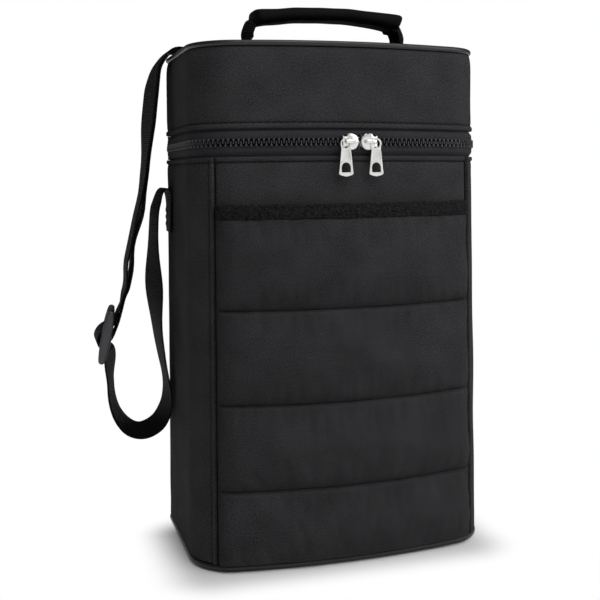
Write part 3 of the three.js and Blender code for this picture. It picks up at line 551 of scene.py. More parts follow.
def gusset_outer(s, z, uneven):
    """Side fabric's outer face: raised, topstitched bands at both seams, and the hem at the top."""
    a = abs(s)
    front = folded(a - SEAM - SEAM_GAP, 1.5)
    back = folded(BACK_SEAM - SEAM_GAP - a, 0.9)
    ripple = 0.1 * math.sin(z / 2.1 + 2 * math.sin(z / 17)) * bell(a - SEAM - 4.4, 2.2)
    free = smoothstep((a - SEAM - 5) / 12) * smoothstep((BACK_SEAM - 5 - a) / 12)
    free *= smoothstep((BODY_TOP - z - 4) / 8) * smoothstep((z - 8) / 10)
    hems = (front, back, folded(BODY_TOP - z))
    return max(max(hems), min(hems)) + min(0, *hems) + ripple + uneven(s, z) * free


def make_gussets():
    low, high = SEAM + SEAM_GAP, BACK_SEAM - SEAM_GAP
    for side, seed in (("left", 5), ("right", 8)):
        uneven = unevenness(seed, 55, 0.3)
        places = end_places(low, high, 2.4)
        if side == "left":
            places = [-s for s in reversed(places)]

        def outer(s, z):
            return gusset_outer(s, z, uneven)

        make_body_wall(f"{side}_gusset", places, outer, 3, lambda s: min(abs(s) - low, high - abs(s)))


def make_back_panel():
    low, high = BACK_SEAM + SEAM_GAP, 2 * HALF - BACK_SEAM - SEAM_GAP
    uneven = unevenness(12, 60, 0.3)

    def cut(s):
        return min(s - low, high - s)

    def outer(s, z):
        free = smoothstep((cut(s) - 3) / 12) * smoothstep((BODY_TOP - z - 4) / 8)
        return folded(BODY_TOP - z) + uneven(s, z) * free

    make_body_wall("back_panel", end_places(low, high, 3), outer, cut=cut)


def make_lid_band():
    uneven = unevenness(21, 60, 0.28)
    near = close_to(LID_BOTTOM, 1, LID_HEM)

    def section(s):
        def outer(z):
            d = z - LID_BOTTOM
            tucked = -0.7 * smoothstep((z - LID_WALL_TOP + 4) / 4)
            seam = -0.5 * bell(HALF - abs(s), 0.7)
            free = smoothstep((d - 5) / 8) * smoothstep((LID_WALL_TOP - z - 2) / 8)
            return folded(d, 0.85, LID_HEM) + tucked + seam + 0.25 * free + uneven(s, z) * free

        return sheet_section(outer, LID_BOTTOM, LID_WALL_TOP, 30, 2.6, near)

    places = spaced(-HALF, HALF, 2)[:-1]
    sweep("lid_band_cloth", "lid", "lid_band", places, section, "fabric", closed=True)


def plan_ring(inset, z, scale=1, wave=None):
    """The outline at an inset, drawn in towards its middle by scale."""
    ring = []
    for s in spaced(-HALF, HALF, 3)[:-1]:
        p = spot(s, -inset, z)
        x, y = p.x * scale, p.y * scale
        rise = (lifted(s, z) - z) * scale + (lifted(HALF / 2, z) - z) * (1 - scale)
        if wave:
            rise += wave(x / MM, y / MM) * (1 - scale)
        ring.append(Vector((x, y, (z + rise) * MM)))
    return ring


SCALES = (0.985, 0.95, 0.88, 0.76, 0.62, 0.46, 0.3, 0.14, 0.02)


def plan_sheet(name, body, node, inset, low, high, finish, wave=None):
    """A flat sheet with rounded edges, of the outline's shape, its UV map taken straight from above."""
    rings = [plan_ring(inset, low, k) for k in reversed(SCALES)]
    rings += [plan_ring(inset + 0.2, low + 0.1), plan_ring(inset, (low + high) / 2)]
    rings += [plan_ring(inset + 0.2, high - 0.1)]
    rings += [plan_ring(inset, high, k, wave) for k in SCALES]
    piece = loft(name, rings, finish)
    mesh = piece.data
    layer = mesh.uv_layers["cloth"]
    for loop in mesh.loops:
        layer.data[loop.index].uv = mesh.vertices[loop.vertex_index].co.xy
    return stand_for(piece, body, finish, node)


def make_top_and_base():
    uneven = unevenness(31, 50, 0.12)
    under = LID_TOP - FABRIC
    plan_sheet("lid_top_cloth", "lid", "lid_top_panel", TOP_INSET, under, LID_TOP, "fabric", uneven)
    plan_sheet("base_cloth", "bag", "base_panel", BASE_INSET, 0, FABRIC, "fabric")


def make_piping(name, body, inset, z, radius, node):
    """Piping round the outline, with the slight waves of a cord that was sewn by hand."""
    places = spaced(-HALF, HALF, 2)[:-1]
    wave = unevenness(41, 90, 0.12)

    def section(s):
        out, up = wave(s, 0), wave(s, 40)
        return [(out - inset + radius * x, z + up + radius * y) for x, y in circle(14)]

    sweep(name, body, node, places, section, "piping", closed=True)


def make_foams():
    """Foam sheets behind the walls, with soft corners."""
    r, gap, short = 0.8, 0.15, 6.3  # corner radius, half the gap between sheets, and distance to a hem
    outer, inner = -FOAM_INSET - r, -FOAM_INSET - FOAM + r

    def cross(low, high):
        return rounded([(outer, high - r), (inner, high - r), (inner, low + r), (outer, low + r)], r, 3)

    def section(s):
        return cross(WALL_BOTTOM, BODY_TOP - short)

    spans = {
        "front_foam": (-SEAM + gap, SEAM - gap),
        "right_foam": (SEAM + gap, BACK_SEAM - gap),
        "left_foam": (-BACK_SEAM + gap, -SEAM - gap),
        "back_foam": (BACK_SEAM + 2 * gap, 2 * HALF - BACK_SEAM - 2 * gap),
    }
    for node, (low, high) in spans.items():
        foam = sweep(f"{node}_sheet", "bag", node, spaced(low, high, 4), section, "foam")

    def lid_section(s):
        return cross(LID_BOTTOM + short, LID_WALL_TOP)

    places = spaced(-HALF, HALF, 4)[:-1]
    foam = sweep("lid_side_foam_sheet", "lid", "lid_side_foam", places, lid_section, "foam", closed=True)
    foam = plan_sheet("lid_top_foam_sheet", "lid", "lid_top_foam", LINING_INSET, 331.7, 335.4, "foam")


def make_linings():
    """Linings, each with a rolled hem that reaches to the zip tape and covers the foam."""
    wave = unevenness(51, 40, 0.5)
    floor, ceiling = 5.2, 330.6
    under, over = 4.4, 331.4
    inset, room = LINING_INSET, LINING_INSET + LINING
    tape = TAPE_INSET + 0.75
    insets = (inset - 1.4, tape + 0.3, tape, tape + 0.5, inset - 1, room - 0.3, room + 0.05)

    def rolled_hem(*heights):
        return [plan_ring(d, z) for d, z in zip(insets, heights)]

    rings = [plan_ring(inset, under, k) for k in reversed(SCALES)]
    rings += [plan_ring(inset, z) for z in (under + 0.3, 60, 130, 200, 255, 261)]
    rings += rolled_hem(262.2, 262.6, 263.2, 264.1, 264.5, 264.3, 263.4)
    heights = (255, 225, 190, 150, 110, 70, 35, 12)
    rings += [plan_ring(room + 0.35 * (i % 2), z) for i, z in enumerate(heights)]
    rings += [plan_ring(room, floor + 2), plan_ring(room + 0.6, floor + 0.4)]
    rings += [plan_ring(room, floor, k, wave) for k in SCALES]
    body = loft("body_lining_cloth", rings, "lining")
    stand_for(body, "bag", "lining", "body_lining")

    rings = [plan_ring(inset, over, k) for k in SCALES]
    rings.reverse()
    rings += [plan_ring(inset, z) for z in (over - 0.3, 315, 300, 287)]
    rings += rolled_hem(285.6, 285.2, 284.6, 283.3, 282.9, 283.1, 284)
    rings += [plan_ring(room + 0.3 * (i % 2), z) for i, z in enumerate((292, 300, 310, 320, 328))]
    rings += [plan_ring(room, ceiling, k, wave) for k in SCALES]
    lid = loft("lid_lining_cloth", [list(reversed(r)) for r in rings], "lining")
    stand_for(lid, "lid", "lining", "lid_lining")


def make_hinge():
    """Fabric that carries the lid at the back."""
    start = FRONT + CORNER + SIDE - 1.7
    low, high = BODY_TOP + 0.3, LID_BOTTOM - 0.3
    uneven = unevenness(61, 30, 0.12)

    def section(s):
        def outer(z):
            t = (z - low) / (high - low)
            return -0.5 * math.sin(math.pi * t) - 0.1 + uneven(s, z)

        return sheet_section(outer, low, high, 3, 1.2)

    places = spaced(start, 2 * HALF - start, 2.5)
    strip = sweep("hinge_cloth", None, "hinge_strip", places, section, "fabric")
    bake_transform(strip)


# Front pocket

CHANNELS = (WALL_BOTTOM, *QUILT_SEAMS, BINDING_LOW)
BINDING_ROWS = (226.9, 233.7)  # the two rows of thread in the binding


def pocket_slack(z):
    """How far the pocket stands off the wall's middle: not at all at the base, and most in its upper half."""
    t = (z - WALL_BOTTOM) / (POCKET_MOUTH - WALL_BOTTOM)
    return POCKET_SLACK * (1 - (1 - t) ** 3)


def pocket_share(s):
    return max(0, 1 - (spot(s, 0, 0).x / MM / SEAM_X) ** 2)


def pocket_back(s, z):
    return 0.08 + pocket_slack(z) * pocket_share(s)


def channel_share(z):
    """How far up its quilted channel z is, from 0 to 1, and 0 above them all."""
    for low, high in zip(CHANNELS, CHANNELS[1:]):
        if z <= high:
            return (z - low) / (high - low)
    return 0


def pocket_puff(z):
    return POCKET_PUFF * math.sin(math.pi * channel_share(z)) ** 0.6


def pocket_edge(s):
    """1 over the pocket's face, falling to 0 at its side seams."""
    return 1 - (1 - min(1, (SEAM - SEAM_GAP - abs(s)) / 5)) ** 2.2


def quilted_face(columns, rows):
    """Outer face of the pocket, blown up between its seams as cloth over wadding."""
    count, last = len(rows), len(columns) - 1

    def nearest(level):
        return min(range(count), key=lambda j: abs(rows[j] - level))

    def rest(s, z):
        return pocket_back(s, z) + 0.25 + pocket_edge(s) * 2.5

    def start(s, z):
        return rest(s, z) + 0.3 * pocket_puff(z) * pocket_edge(s)

    grid = {(i, j): (s, z) for i, s in enumerate(columns) for j, z in enumerate(rows)}
    points = [spot(s, start(s, z), z) for s, z in grid.values()]
    corners = [i * count + j for i, j in grid if i < last and j < count - 1]
    faces = [(k, k + count, k + count + 1, k + 1) for k in corners]
    cloth = new_piece("pocket_cloth", points, faces, "quilt")
    sewn = {0, *map(nearest, QUILT_SEAMS), *range(nearest(BINDING_LOW), count)}
    blown = swollen(cloth, [i * count + j for i, j in grid if j in sewn or i in (0, last)])
    bpy.data.objects.remove(cloth)
    least, most = -0.6, 3.2  # how far the cloth may have moved
    face = {}
    for k, (at, (s, z)) in enumerate(grid.items()):
        moved = (blown[k] - points[k]).dot(outward(s)) / MM
        face[at] = start(s, z) + max(least, min(most, moved))
    return face


def swollen(cloth, pins):
    """Where a sheet's points lie after its pinned wadding pushes it out."""
    scene = bpy.context.scene
    cloth.vertex_groups.new(name="sewn").add(pins, 1.0, "REPLACE")
    simulation = cloth.modifiers.new("cloth", "CLOTH")
    settings = simulation.settings
    settings.quality = 5
    settings.mass = 0.25
    settings.tension_stiffness = 12
    settings.compression_stiffness = 12
    settings.shear_stiffness = 4
    settings.bending_stiffness = 0.3
    settings.use_pressure = True
    settings.uniform_pressure_force = 2.5
    settings.vertex_group_mass = "sewn"
    settings.shrink_min = -0.012
    settings.effector_weights.gravity = 0
    simulation.collision_settings.use_collision = False
    simulation.point_cache.frame_start = 1
    simulation.point_cache.frame_end = 20
    for step in range(1, 21):
        scene.frame_set(step)
    places = [v.co.copy() for v in evaluated(cloth).data.vertices]
    cloth.modifiers.remove(simulation)
    scene.frame_set(1)
    return places


def pucker(s, z):
    """Small gathers that run out from each sewn row."""
    total = 0
    for seam in (*QUILT_SEAMS, BINDING_LOW):
        d = abs(z - seam)
        if d < 16:
            gather = math.sin(s / 1.9 + 1.7 * math.sin(s / 11 + seam)) + 0.6 * math.sin(s / 3.1 + seam)
            total += 0.13 * gather * math.exp(-d / 4)
    return total


def seam_dent(z):
    """The sewn rows' grooves: a long slope down from above, and a quick rise below."""
    total = 0
    for seam in QUILT_SEAMS:
        d = z - seam
        total -= 3.3 * (math.exp(-d / 2.2) if d > 0 else bell(d, 1.1))
    return total


def tucked(z):
    """How far the cloth over a sewn row hangs down over it."""
    over = [z - seam for seam in QUILT_SEAMS if 0 < z - seam < 12]
    return 0.8 * math.exp(-over[0] / 1.5) * (1 - math.exp(-over[0] / 0.4)) if over else 0


def sag(z):
    """The wadding hangs a little lower in each channel."""
    return 0.7 * math.sin(2 * math.pi * channel_share(z))


def make_pocket():
    columns = with_ends(-SEAM + SEAM_GAP, SEAM - SEAM_GAP, [0, 0.3, 0.7, 1.2, 1.9, 2.8, 4, 5.4], 7, 1.6)
    levels = [*CHANNELS, POCKET_MOUTH - 0.4]
    rows = [levels[0]]
    for bottom, top in zip(levels, levels[1:]):
        fine = [0.5, 1, 1.6, 2.4] if top - bottom > 20 else []
        rows += with_ends(bottom, top, fine, 3.4 if fine else 1, 1.7) + [top]
    face = quilted_face(columns, rows)
    uneven = unevenness(71, 34, 0.22)

    lining = (POCKET_MOUTH - 0.4, 215, 190, 165, 140, 115, 90, 60, 30, 12, WALL_BOTTOM)

    def ring(i, s):
        edge = pocket_edge(s)
        outer = []
        for j, z in enumerate(rows):
            detail = (pucker(s, z) + seam_dent(z) + sag(z) + uneven(s, z)) * edge
            detail -= 0.8 * bell(SEAM - SEAM_GAP - abs(s), 1.2)
            outer.append((max(pocket_back(s, z) + 0.2, face[i, j] + detail), z - tucked(z) * edge))
        top = (outer[-1][0] + pocket_back(s, POCKET_MOUTH)) / 2
        return outer + [(top, POCKET_MOUTH)] + [(pocket_back(s, z), z) for z in lining]

    rings = [[spot(s, n, z) for n, z in ring(i, s)] for i, s in enumerate(columns)]
    pocket = loft("pocket_quilted_cloth", rings, "quilt", along=[s * MM for s in columns], sharp=70)
    stand_for(pocket, "bag", "quilt", "pocket_panel")


def binding_outer(s):
    return pocket_back(s, BINDING_LOW + 5) + 0.25 + pocket_edge(s) * 2.2


def make_binding():
    nap = unevenness(81, 5, 0.1)
    low, high = BINDING_ROWS

    def section(s):
        o = binding_outer(s)
        b = max(0.12, pocket_back(s, POCKET_MOUTH) - 0.2)
        face = [(o + 0.1, 225.3), (o + 0.65, 225.6), (o + 0.8, 226.3), (o + 0.6, low), (o + 0.85, 227.8)]
        face += [(o + 0.95 + nap(s, z), z) for z in (228.8, 229.9, 231, 232.1)]
        face += [(o + 0.85, 233), (o + 0.6, high), (o + 0.75, 234.3), (o + 0.35, 235), (o - 0.4, 235.3)]
        back = [(b + 0.1, 235.1), (b, 234.2), (b, 232), (b + 0.4, 231.6), (o - 0.2, 231), (o - 0.3, 226)]
        return face + back

    places = spaced(-SEAM + SEAM_GAP, SEAM - SEAM_GAP, 0.9)
    sweep("pocket_binding_tape", "bag", "pocket_binding", places, section, "binding", sharp=60)


# Zip

TOOTH_PITCH = 3.25  # closer than the solids' 3.4
TOOTH_FOOT = 2.75
ZIP_PARTING = 2.1  # how far a slider pushes each row aside
SLIDER_LENGTH = 11.3
SLIDER_GAP = 1.8
SLIDER_MEETING = 6.1  # the sliders meet a little to the right of the front's middle
LEFT_SLIDER = SLIDER_MEETING - SLIDER_GAP / 2 - SLIDER_LENGTH / 2
RIGHT_SLIDER = SLIDER_MEETING + SLIDER_GAP / 2 + SLIDER_LENGTH / 2
PATH_END = FRONT + CORNER + BACK_CORNER_Y - 2 - FRONT_CORNER_Y
ZIP_HALVES = (("lower", "bag", -1), ("upper", "lid", 1))


def parting(s):
    """How far a row of teeth is pushed aside at s, in and between the sliders."""
    behind, run = 1.8, 6.4  # where the rows begin to part, and over what length they do
    left = (s - LEFT_SLIDER + behind) / run
    right = (RIGHT_SLIDER + behind - s) / run
    return ZIP_PARTING * smoothstep(min(left, right))


def make_tape(name, body, up):
    """Zip tape: it comes out from behind the fabric's hem and ends in a corded edge between the teeth."""
    edge = LID_BOTTOM if up > 0 else BODY_TOP
    bends = [(4.1, 0), (5.0, 0.02), (6.0, -0.15), (7.0, -0.8), (7.9, -1.45)]

    def section(s):
        free = TOOTH_FOOT - 0.5 + parting(s)
        line = [(free, 0.0)] + [(max(h, free + 0.8 + 0.05 * i), n) for i, (h, n) in enumerate(bends)]
        points = [(n, ZIP_Z + up * h) for h, n in line]
        points += [(-TAPE_INSET, edge - up * 0.3), (-TAPE_INSET, edge + up * 3), (-TAPE_INSET, edge + up * 6)]
        cord = [(0.5, ZIP_Z + up * (free + 0.25)), (0.55, ZIP_Z + up * (free + 0.6))]
        outer = [(n + TAPE / 2, z) for n, z in points]
        inner = [(n - TAPE / 2, z) for n, z in points]
        back = [(-n, z) for n, z in cord]
        ring = [(0, ZIP_Z + up * (free - 0.1)), *cord, *outer[1:], *reversed(inner[1:]), *reversed(back)]
        return ring if up > 0 else ring[::-1]

    places = [-PATH_END, *spaced(-PATH_END + 0.3, PATH_END - 0.3, 1.7), PATH_END]
    sweep(f"{name}_tape_cloth", body, f"{name}_zip_tape", places, section, "tape", sharp=60)


def tooth_shape():
    """One moulded tooth in its own frame: x along the zip, y towards the other row, z out of the bag."""
    half = [
        (0.75, -2.8), (1.15, -2.6), (1.27, -2.1), (1.1, -1.6), (0.62, -0.85),
        (0.5, -0.3), (0.78, 0.25), (0.84, 0.62), (0.6, 1.0),
    ]
    edge = [(x, y) for x, y in half] + [(-x, y) for x, y in reversed(half)]
    rings = []
    for z, wide, tall in ((-1.2, 0.8, 0.9), (-0.3, 0.96, 1), (0.7, 0.86, 1), (1.5, 0.4, 0.86)):
        rings.append([Vector((x * wide, -0.9 + (y + 0.9) * tall, z)) * MM for x, y in edge])
    tooth = loft("tooth_shape", rings, "teeth", sharp=35)
    bpy.context.collection.objects.unlink(tooth)
    return tooth


def repeated(name, shape, places, finish):
    """A shape set at each place, made by Geometry Nodes and turned into a plain mesh.
    A place is a point and the three directions of the shape's own x, y and z."""
    mesh = bpy.data.meshes.new(name)
    mesh.from_pydata([point for point, *_ in places], [], [])
    turns = mesh.attributes.new("turn", "FLOAT_VECTOR", "POINT")
    values = []
    for _, x, y, z in places:
        values += Matrix((x, y, z)).transposed().to_euler()
    turns.data.foreach_set("vector", values)
    piece = add_object(name, mesh)
    tree = bpy.data.node_groups.new(f"{name}_rows", "GeometryNodeTree")
    for label, kind in (("Geometry", "Geometry"), ("Shape", "Object"), ("Size", "Float")):
        tree.interface.new_socket(label, in_out="INPUT", socket_type=f"NodeSocket{kind}")
    tree.interface.new_socket("Geometry", in_out="OUTPUT", socket_type="NodeSocketGeometry")
    given = add_node(tree, "NodeGroupInput").outputs
    info = add_node(tree, "GeometryNodeObjectInfo", {"Object": given["Shape"]}, transform_space="ORIGINAL")
    turn = add_node(tree, "GeometryNodeInputNamedAttribute", {"Name": "turn"}, data_type="FLOAT_VECTOR")
    spin = add_node(tree, "FunctionNodeEulerToRotation", {"Euler": turn.outputs["Attribute"]})
    shown = info.outputs["Geometry"]
    placing = {"Points": given["Geometry"], "Instance": shown, "Rotation": spin, "Scale": given["Size"]}
    placed = add_node(tree, "GeometryNodeInstanceOnPoints", placing)
    real = add_node(tree, "GeometryNodeRealizeInstances", {"Geometry": placed})
    painted = add_node(tree, "GeometryNodeSetMaterial", {"Geometry": real, "Material": finishes[finish]})
    add_node(tree, "NodeGroupOutput", {"Geometry": painted})
    modifier = piece.modifiers.new("rows", "NODES")
    modifier.node_group = tree
    sockets = {item.name: item.identifier for item in tree.interface.items_tree if item.in_out == "INPUT"}
    modifier[sockets["Shape"]] = shape
    modifier[sockets["Size"]] = 1.0
    plain_mesh(piece)
    piece.data.attributes.remove(piece.data.attributes["turn"])
    return piece


def tooth_places(up):
    count = math.floor((2 * PATH_END - TOOTH_PITCH) / TOOTH_PITCH)
    first = -((count - 1) * TOOTH_PITCH) / 2 + up * TOOTH_PITCH / 4
    places = []
    for i in range(count):
        s = first + i * TOOTH_PITCH
        turn = math.atan(parting(s + 0.5) - parting(s - 0.5))
        out = outward(s)
        along = Vector((0, 0, 1)).cross(out)
        ahead = (along + Vector((0, 0, up * math.tan(turn)))).normalized()
        inward = out.cross(ahead)
        if up > 0:
            ahead, inward = -ahead, -inward
        point = spot(s, 0, ZIP_Z + up * parting(s))
        places.append((point, ahead, inward, out))
    return places


def make_zip():
    for half in ZIP_HALVES:
        make_tape(*half)
    tooth = tooth_shape()
    for name, body, up in ZIP_HALVES:
        row = repeated(f"{name}_teeth_row", tooth, tooth_places(up), "teeth")
        stand_for(row, body, "teeth", f"{name}_zip_teeth")
    bpy.data.objects.remove(tooth)


# Sliders and pulls, in the slider's frame: x towards its mouth, y up, z out of the bag

SLOT_HALF = 1.6
PLATE_TOP = 2.7
PULL_BASE = 3.05


def plate(name, outlines, low, high, bevel):
    """A flat plate with rounded edges; outlines are its edge and its holes."""
    curve = bpy.data.curves.new(name, "CURVE")
    curve.dimensions = "2D"
    curve.fill_mode = "BOTH"
    curve.extrude = ((high - low) / 2 - bevel) * MM
    curve.bevel_depth = bevel * MM
    curve.bevel_resolution = 2
    curve.offset = -bevel * MM
    for outline in outlines:
        line = curve.splines.new("POLY")
        line.points.add(len(outline) - 1)
        for point, (x, y) in zip(line.points, outline):
            point.co = (x * MM, y * MM, 0, 1)
        line.use_cyclic_u = True
    flat = add_object(name, curve)
    mesh = bpy.data.meshes.new_from_object(evaluated(flat))
    bpy.data.objects.remove(flat)
    mesh.transform(Matrix.Translation((0, 0, (low + high) / 2 * MM)))
    return mesh


def slider_edge(shrink=0.0):
    """Round head at the mouth, then a waist and flared corners at the tail."""
    r = 5.65 - shrink
    head = arc(0, 0, r, -112, 112, 28)
    tail = [(-2.9, 3.85), (-3.8, 3.55), (-4.7, 3.6), (-5.65, 4.3)]
    upper = [(x + shrink * 0.8, y - shrink) for x, y in tail]
    return head + upper + [(x, -y) for x, y in reversed(upper)]


def joined(name, meshes, finish, place, sharp=20):
    """Several closed shells as one piece, put in their place."""
    gathered = bmesh.new()
    for mesh in meshes:
        gathered.from_mesh(mesh)
    bmesh.ops.remove_doubles(gathered, verts=gathered.verts, dist=1e-6)
    bmesh.ops.recalc_face_normals(gathered, faces=gathered.faces)
    result = bpy.data.meshes.new(name)
    gathered.to_mesh(result)
    gathered.free()
    result.transform(place)
    finish_mesh(result, finish, sharp)
    return add_object(name, result)


def shell(rings):
    piece = loft("shell", rings, "nickel")
    mesh = piece.data
    bpy.data.objects.remove(piece)
    return mesh


def domed_plate():
    """The slider's outer plate, slightly domed and a little lower at the mouth."""
    rings = []
    for z, shrink in ((1.5, 0.15), (1.6, 0), (1.85, 0)):
        rings.append([Vector((x, y, z)) * MM for x, y in slider_edge(shrink)])
    for k, z in ((1.03, 2.2), (1, 2.45), (0.86, 2.68), (0.72, 2.82), (0.5, 2.93), (0.25, 2.98), (0.03, 3)):
        rings.append([Vector((x * k, y * k, z - 0.07 * x * k)) * MM for x, y in slider_edge(0.4)])
    return shell(rings)


def bridge_bar():
    """Bar over the plate that carries the pull, as a round strip."""
    path = [(-4.1, 1.9), (-4.15, 3.2), (-4.05, 4.3), (-3.5, 5.0), (-2.6, 5.25), (0, 5.45)]
    path += [(2.2, 5.2), (3.0, 4.8), (3.4, 4.1), (3.5, 3.0), (3.5, 1.9)]
    rings = []
    for i, (x, z) in enumerate(path):
        x0, z0 = path[max(0, i - 1)]
        x1, z1 = path[min(len(path) - 1, i + 1)]
        along = Vector((x1 - x0, 0, z1 - z0)).normalized()
        side = Vector((0, 1, 0))
        up = side.cross(along)
        places = [(side * (1.1 * blunt(c, 0.7)), up * (0.5 * blunt(d, 0.8))) for c, d in circle(12)]
        rings.append([(Vector((x, 0, z)) + w + h) * MM for w, h in places])
    return shell(rings)


def slider_frame(s, direction):
    """Matrix from a slider's frame to the bag; direction is 1 where its mouth is on the right, else -1."""
    out = outward(s)
    along = Vector((0, 0, 1)).cross(out) * direction
    up = out.cross(along)
    turn = Matrix((along, up, out)).transposed().to_4x4()
    turn.translation = spot(s, 0, ZIP_Z)
    return turn


def make_slider(name, s, direction):
    rim = [(x, y) for x, y in slider_edge() if x < 0.6]
    top = sorted((x, y) for x, y in rim if y > 0)
    inner = [(x, y - 0.65) for x, y in reversed(top)]
    flange = [top + inner, [(x, -y) for x, y in top + inner]]
    wedge = [(3.3, 0.1), (4.7, 0.75), (5.3, 0.75), (5.3, -0.75), (4.7, -0.75), (3.3, -0.1)]
    meshes = [
        domed_plate(),
        plate("under_plate", [slider_edge()], -PLATE_TOP, -SLOT_HALF, 0.25),
        plate("wedge", [wedge], -1.8, 1.8, 0.05),
        bridge_bar(),
    ]
    for edge in flange:
        meshes.append(plate("rim", [edge], 0.65, 1.8, 0.08))
        meshes.append(plate("rim", [edge], -1.8, -0.65, 0.08))
    slider = joined(f"{name}_slider_nickel", meshes, "nickel", slider_frame(s, direction))
    stand_for(slider, f"slider_{name}", "nickel", f"{name}_slider")


def pull_outlines():
    """The pull hangs from its eye: edge, eye hole, arched hole and the sunk field between them."""
    eye_y, eye = -1.3, 3.8
    low = eye_y + eye - 25.3
    side = [(-3.3, eye_y - eye), (-3.75, eye_y - eye - 4), (-4.55, low + 6), (-5.0, low + 2.6)]
    side += [(-4.95, low + 1.9), (-4.5, low + 1.25), (-3.6, low + 0.85), (-1.6, low + 0.25), (0, low)]
    right = [(-x, y) for x, y in reversed(side[:-1])]
    edge = arc(0, eye_y, eye, -22, 202, 26) + side + right
    hole = arc(0, eye_y, 2.75, 0, 345, 23)
    arch_low = low + 1.1 + 1.7
    arch = arc(0, arch_low + 6.4 - 3.05, 3.05, 0, 180, 14)
    arch += [(-3.05, arch_low + 0.5), (-2.9, arch_low + 0.12), (-2.5, arch_low)]
    arch += [(2.5, arch_low), (2.9, arch_low + 0.12), (3.05, arch_low + 0.5)]
    bottom, top = arch_low + 6.4 + 1.2, eye_y - eye - 0.6
    upper, lower = top - 0.6, bottom + 0.6
    field = rounded([(1.9, upper), (-1.9, upper), (-2.5, lower), (2.5, lower)], 0.6, 4)
    return edge, hole, arch, field


def make_pull(name, s, direction):
    edge, hole, arch, field = pull_outlines()
    place = slider_frame(s, 1) @ Matrix.Translation((-3.9 * direction * MM, 0, 0))
    meshes = [
        plate("front", [edge, hole, arch, field], PULL_BASE + 0.45, PULL_BASE + 1.35, 0.28),
        plate("back", [edge, hole, arch], PULL_BASE, PULL_BASE + 0.75, 0.22),
    ]
    pull = joined(f"{name}_pull_nickel", meshes, "nickel", place)
    stand_for(pull, f"tab_{name}", "nickel", f"{name}_pull")


def make_sliders():
    for name, s, direction in (("left", LEFT_SLIDER, 1), ("right", RIGHT_SLIDER, -1)):
        make_slider(name, s, direction)
        make_pull(name, s, direction)


# Webbing

HANDLE_Y = -10
HANDLE_WIDTH = 25
HANDLE_TOP = HEIGHT + 30.6
GRIP_MIDDLE = HANDLE_TOP - 5.2 - 3  # below the top by half of the sleeve and by its arch
PATCH_X, PATCH_HALF, PATCH_THICKNESS = 49.8, 11, 2.4
STRAP_WIDTH = 30
STRAP_Y = 38
STRAP_FACE = WIDTH / 2 + CLEARANCE + WEBBING / 2  # middle of the webbing that lies on a side
LAYER = WEBBING + CLEARANCE  # from one layer of the strap to the next
# The slide as the photograph shows it, and the height and tilt of the solid that it is made from
ADJUSTER_OUT, ADJUSTER_UP, ADJUSTER_TILT = 45.3, 141.6, 0.2
ADJUSTER_TURN = 0.114
SOLID_UP, SOLID_TILT = 137, 0.101
SLOT_END, ON_FRAME = 11, 2.4  # end of the slide's slots, and the webbing's middle, from its own middle
RING_X, RING_Z, RING_TOP_BAR = 105.3, 236.5, 241.5
ON_RING = 2.4  # the webbing's middle, from a ring bar's middle


def between(a, b, c, d, t):
    """A smooth curve's value on its way from b to c, with a before them and d after."""
    square, cube = 2 * a - 5 * b + 4 * c - d, 3 * b - a - 3 * c + d
    return 0.5 * (2 * b + (c - a) * t + square * t * t + cube * t**3)


def smooth_line(points, per_span):
    """A smooth line through points of the X-Z plane."""
    line = []
    last = len(points) - 1
    for i in range(last):
        near = [points[max(0, min(last, i + k))] for k in (-1, 0, 1, 2)]
        for step in range(per_span):
            line.append(tuple(between(*values, step / per_span) for values in zip(*near)))
    return line + [tuple(points[-1])]


def across_line(line):
    """The unit direction across a line at each of its points."""
    sides = []
    for i in range(len(line)):
        x0, z0 = line[max(0, i - 1)]
        x1, z1 = line[min(len(line) - 1, i + 1)]
        size = math.hypot(x1 - x0, z1 - z0) or 1
        sides.append((-(z1 - z0) / size, (x1 - x0) / size))
    return sides


def webbing_piece(name, body, node, line, y, width, thickness=WEBBING, turns=None, folds=None, skews=None):
    """A band of webbing along a line, with rounded selvedges. At each point, turns and skews say how far
    it is turned about the line and about the vertical, and folds how far its edges are drawn in."""
    half, t = width / 2, thickness / 2
    face = [-half + 0.6, -half + 2, -half / 2, 0, half / 2, half - 2, half - 0.6]
    section = [(a, t) for a in face] + [(half - 0.15, t * 0.6), (half, 0), (half - 0.15, -t * 0.6)]
    section += [(a, -t) for a in reversed(face)]
    section += [(-half + 0.15, -t * 0.6), (-half, 0), (-half + 0.15, t * 0.6)]
    rings = []
    flat = [0] * len(line)
    bends = zip(line, across_line(line), turns or flat, folds or flat, skews or flat)
    for (x, z), (nx, nz), turn, fold, skew in bends:
        ring = []
        for a, h in section:
            up = h - turn * a - fold * (a / half) ** 2
            ring.append(Vector((x + nx * up + skew * a, y + a * (1 - 0.04 * fold), z + nz * up)) * MM)
        rings.append(ring)
    return stand_for(loft(name, rings, "webbing", sharp=50), body, "webbing", node)


def at_adjuster(u, n):
    """A place by the slide: u up along it, n out of the bag."""
    s, c = math.sin(ADJUSTER_TILT), math.cos(ADJUSTER_TILT)
    return (-STRAP_FACE - ADJUSTER_OUT + u * s - n * c, ADJUSTER_UP + u * c + n * s)


def out_left(points):
    """Points beside the bag, each from its distance to the strap's sewn end and its height."""
    return [(-STRAP_FACE - o, z) for o, z in points]


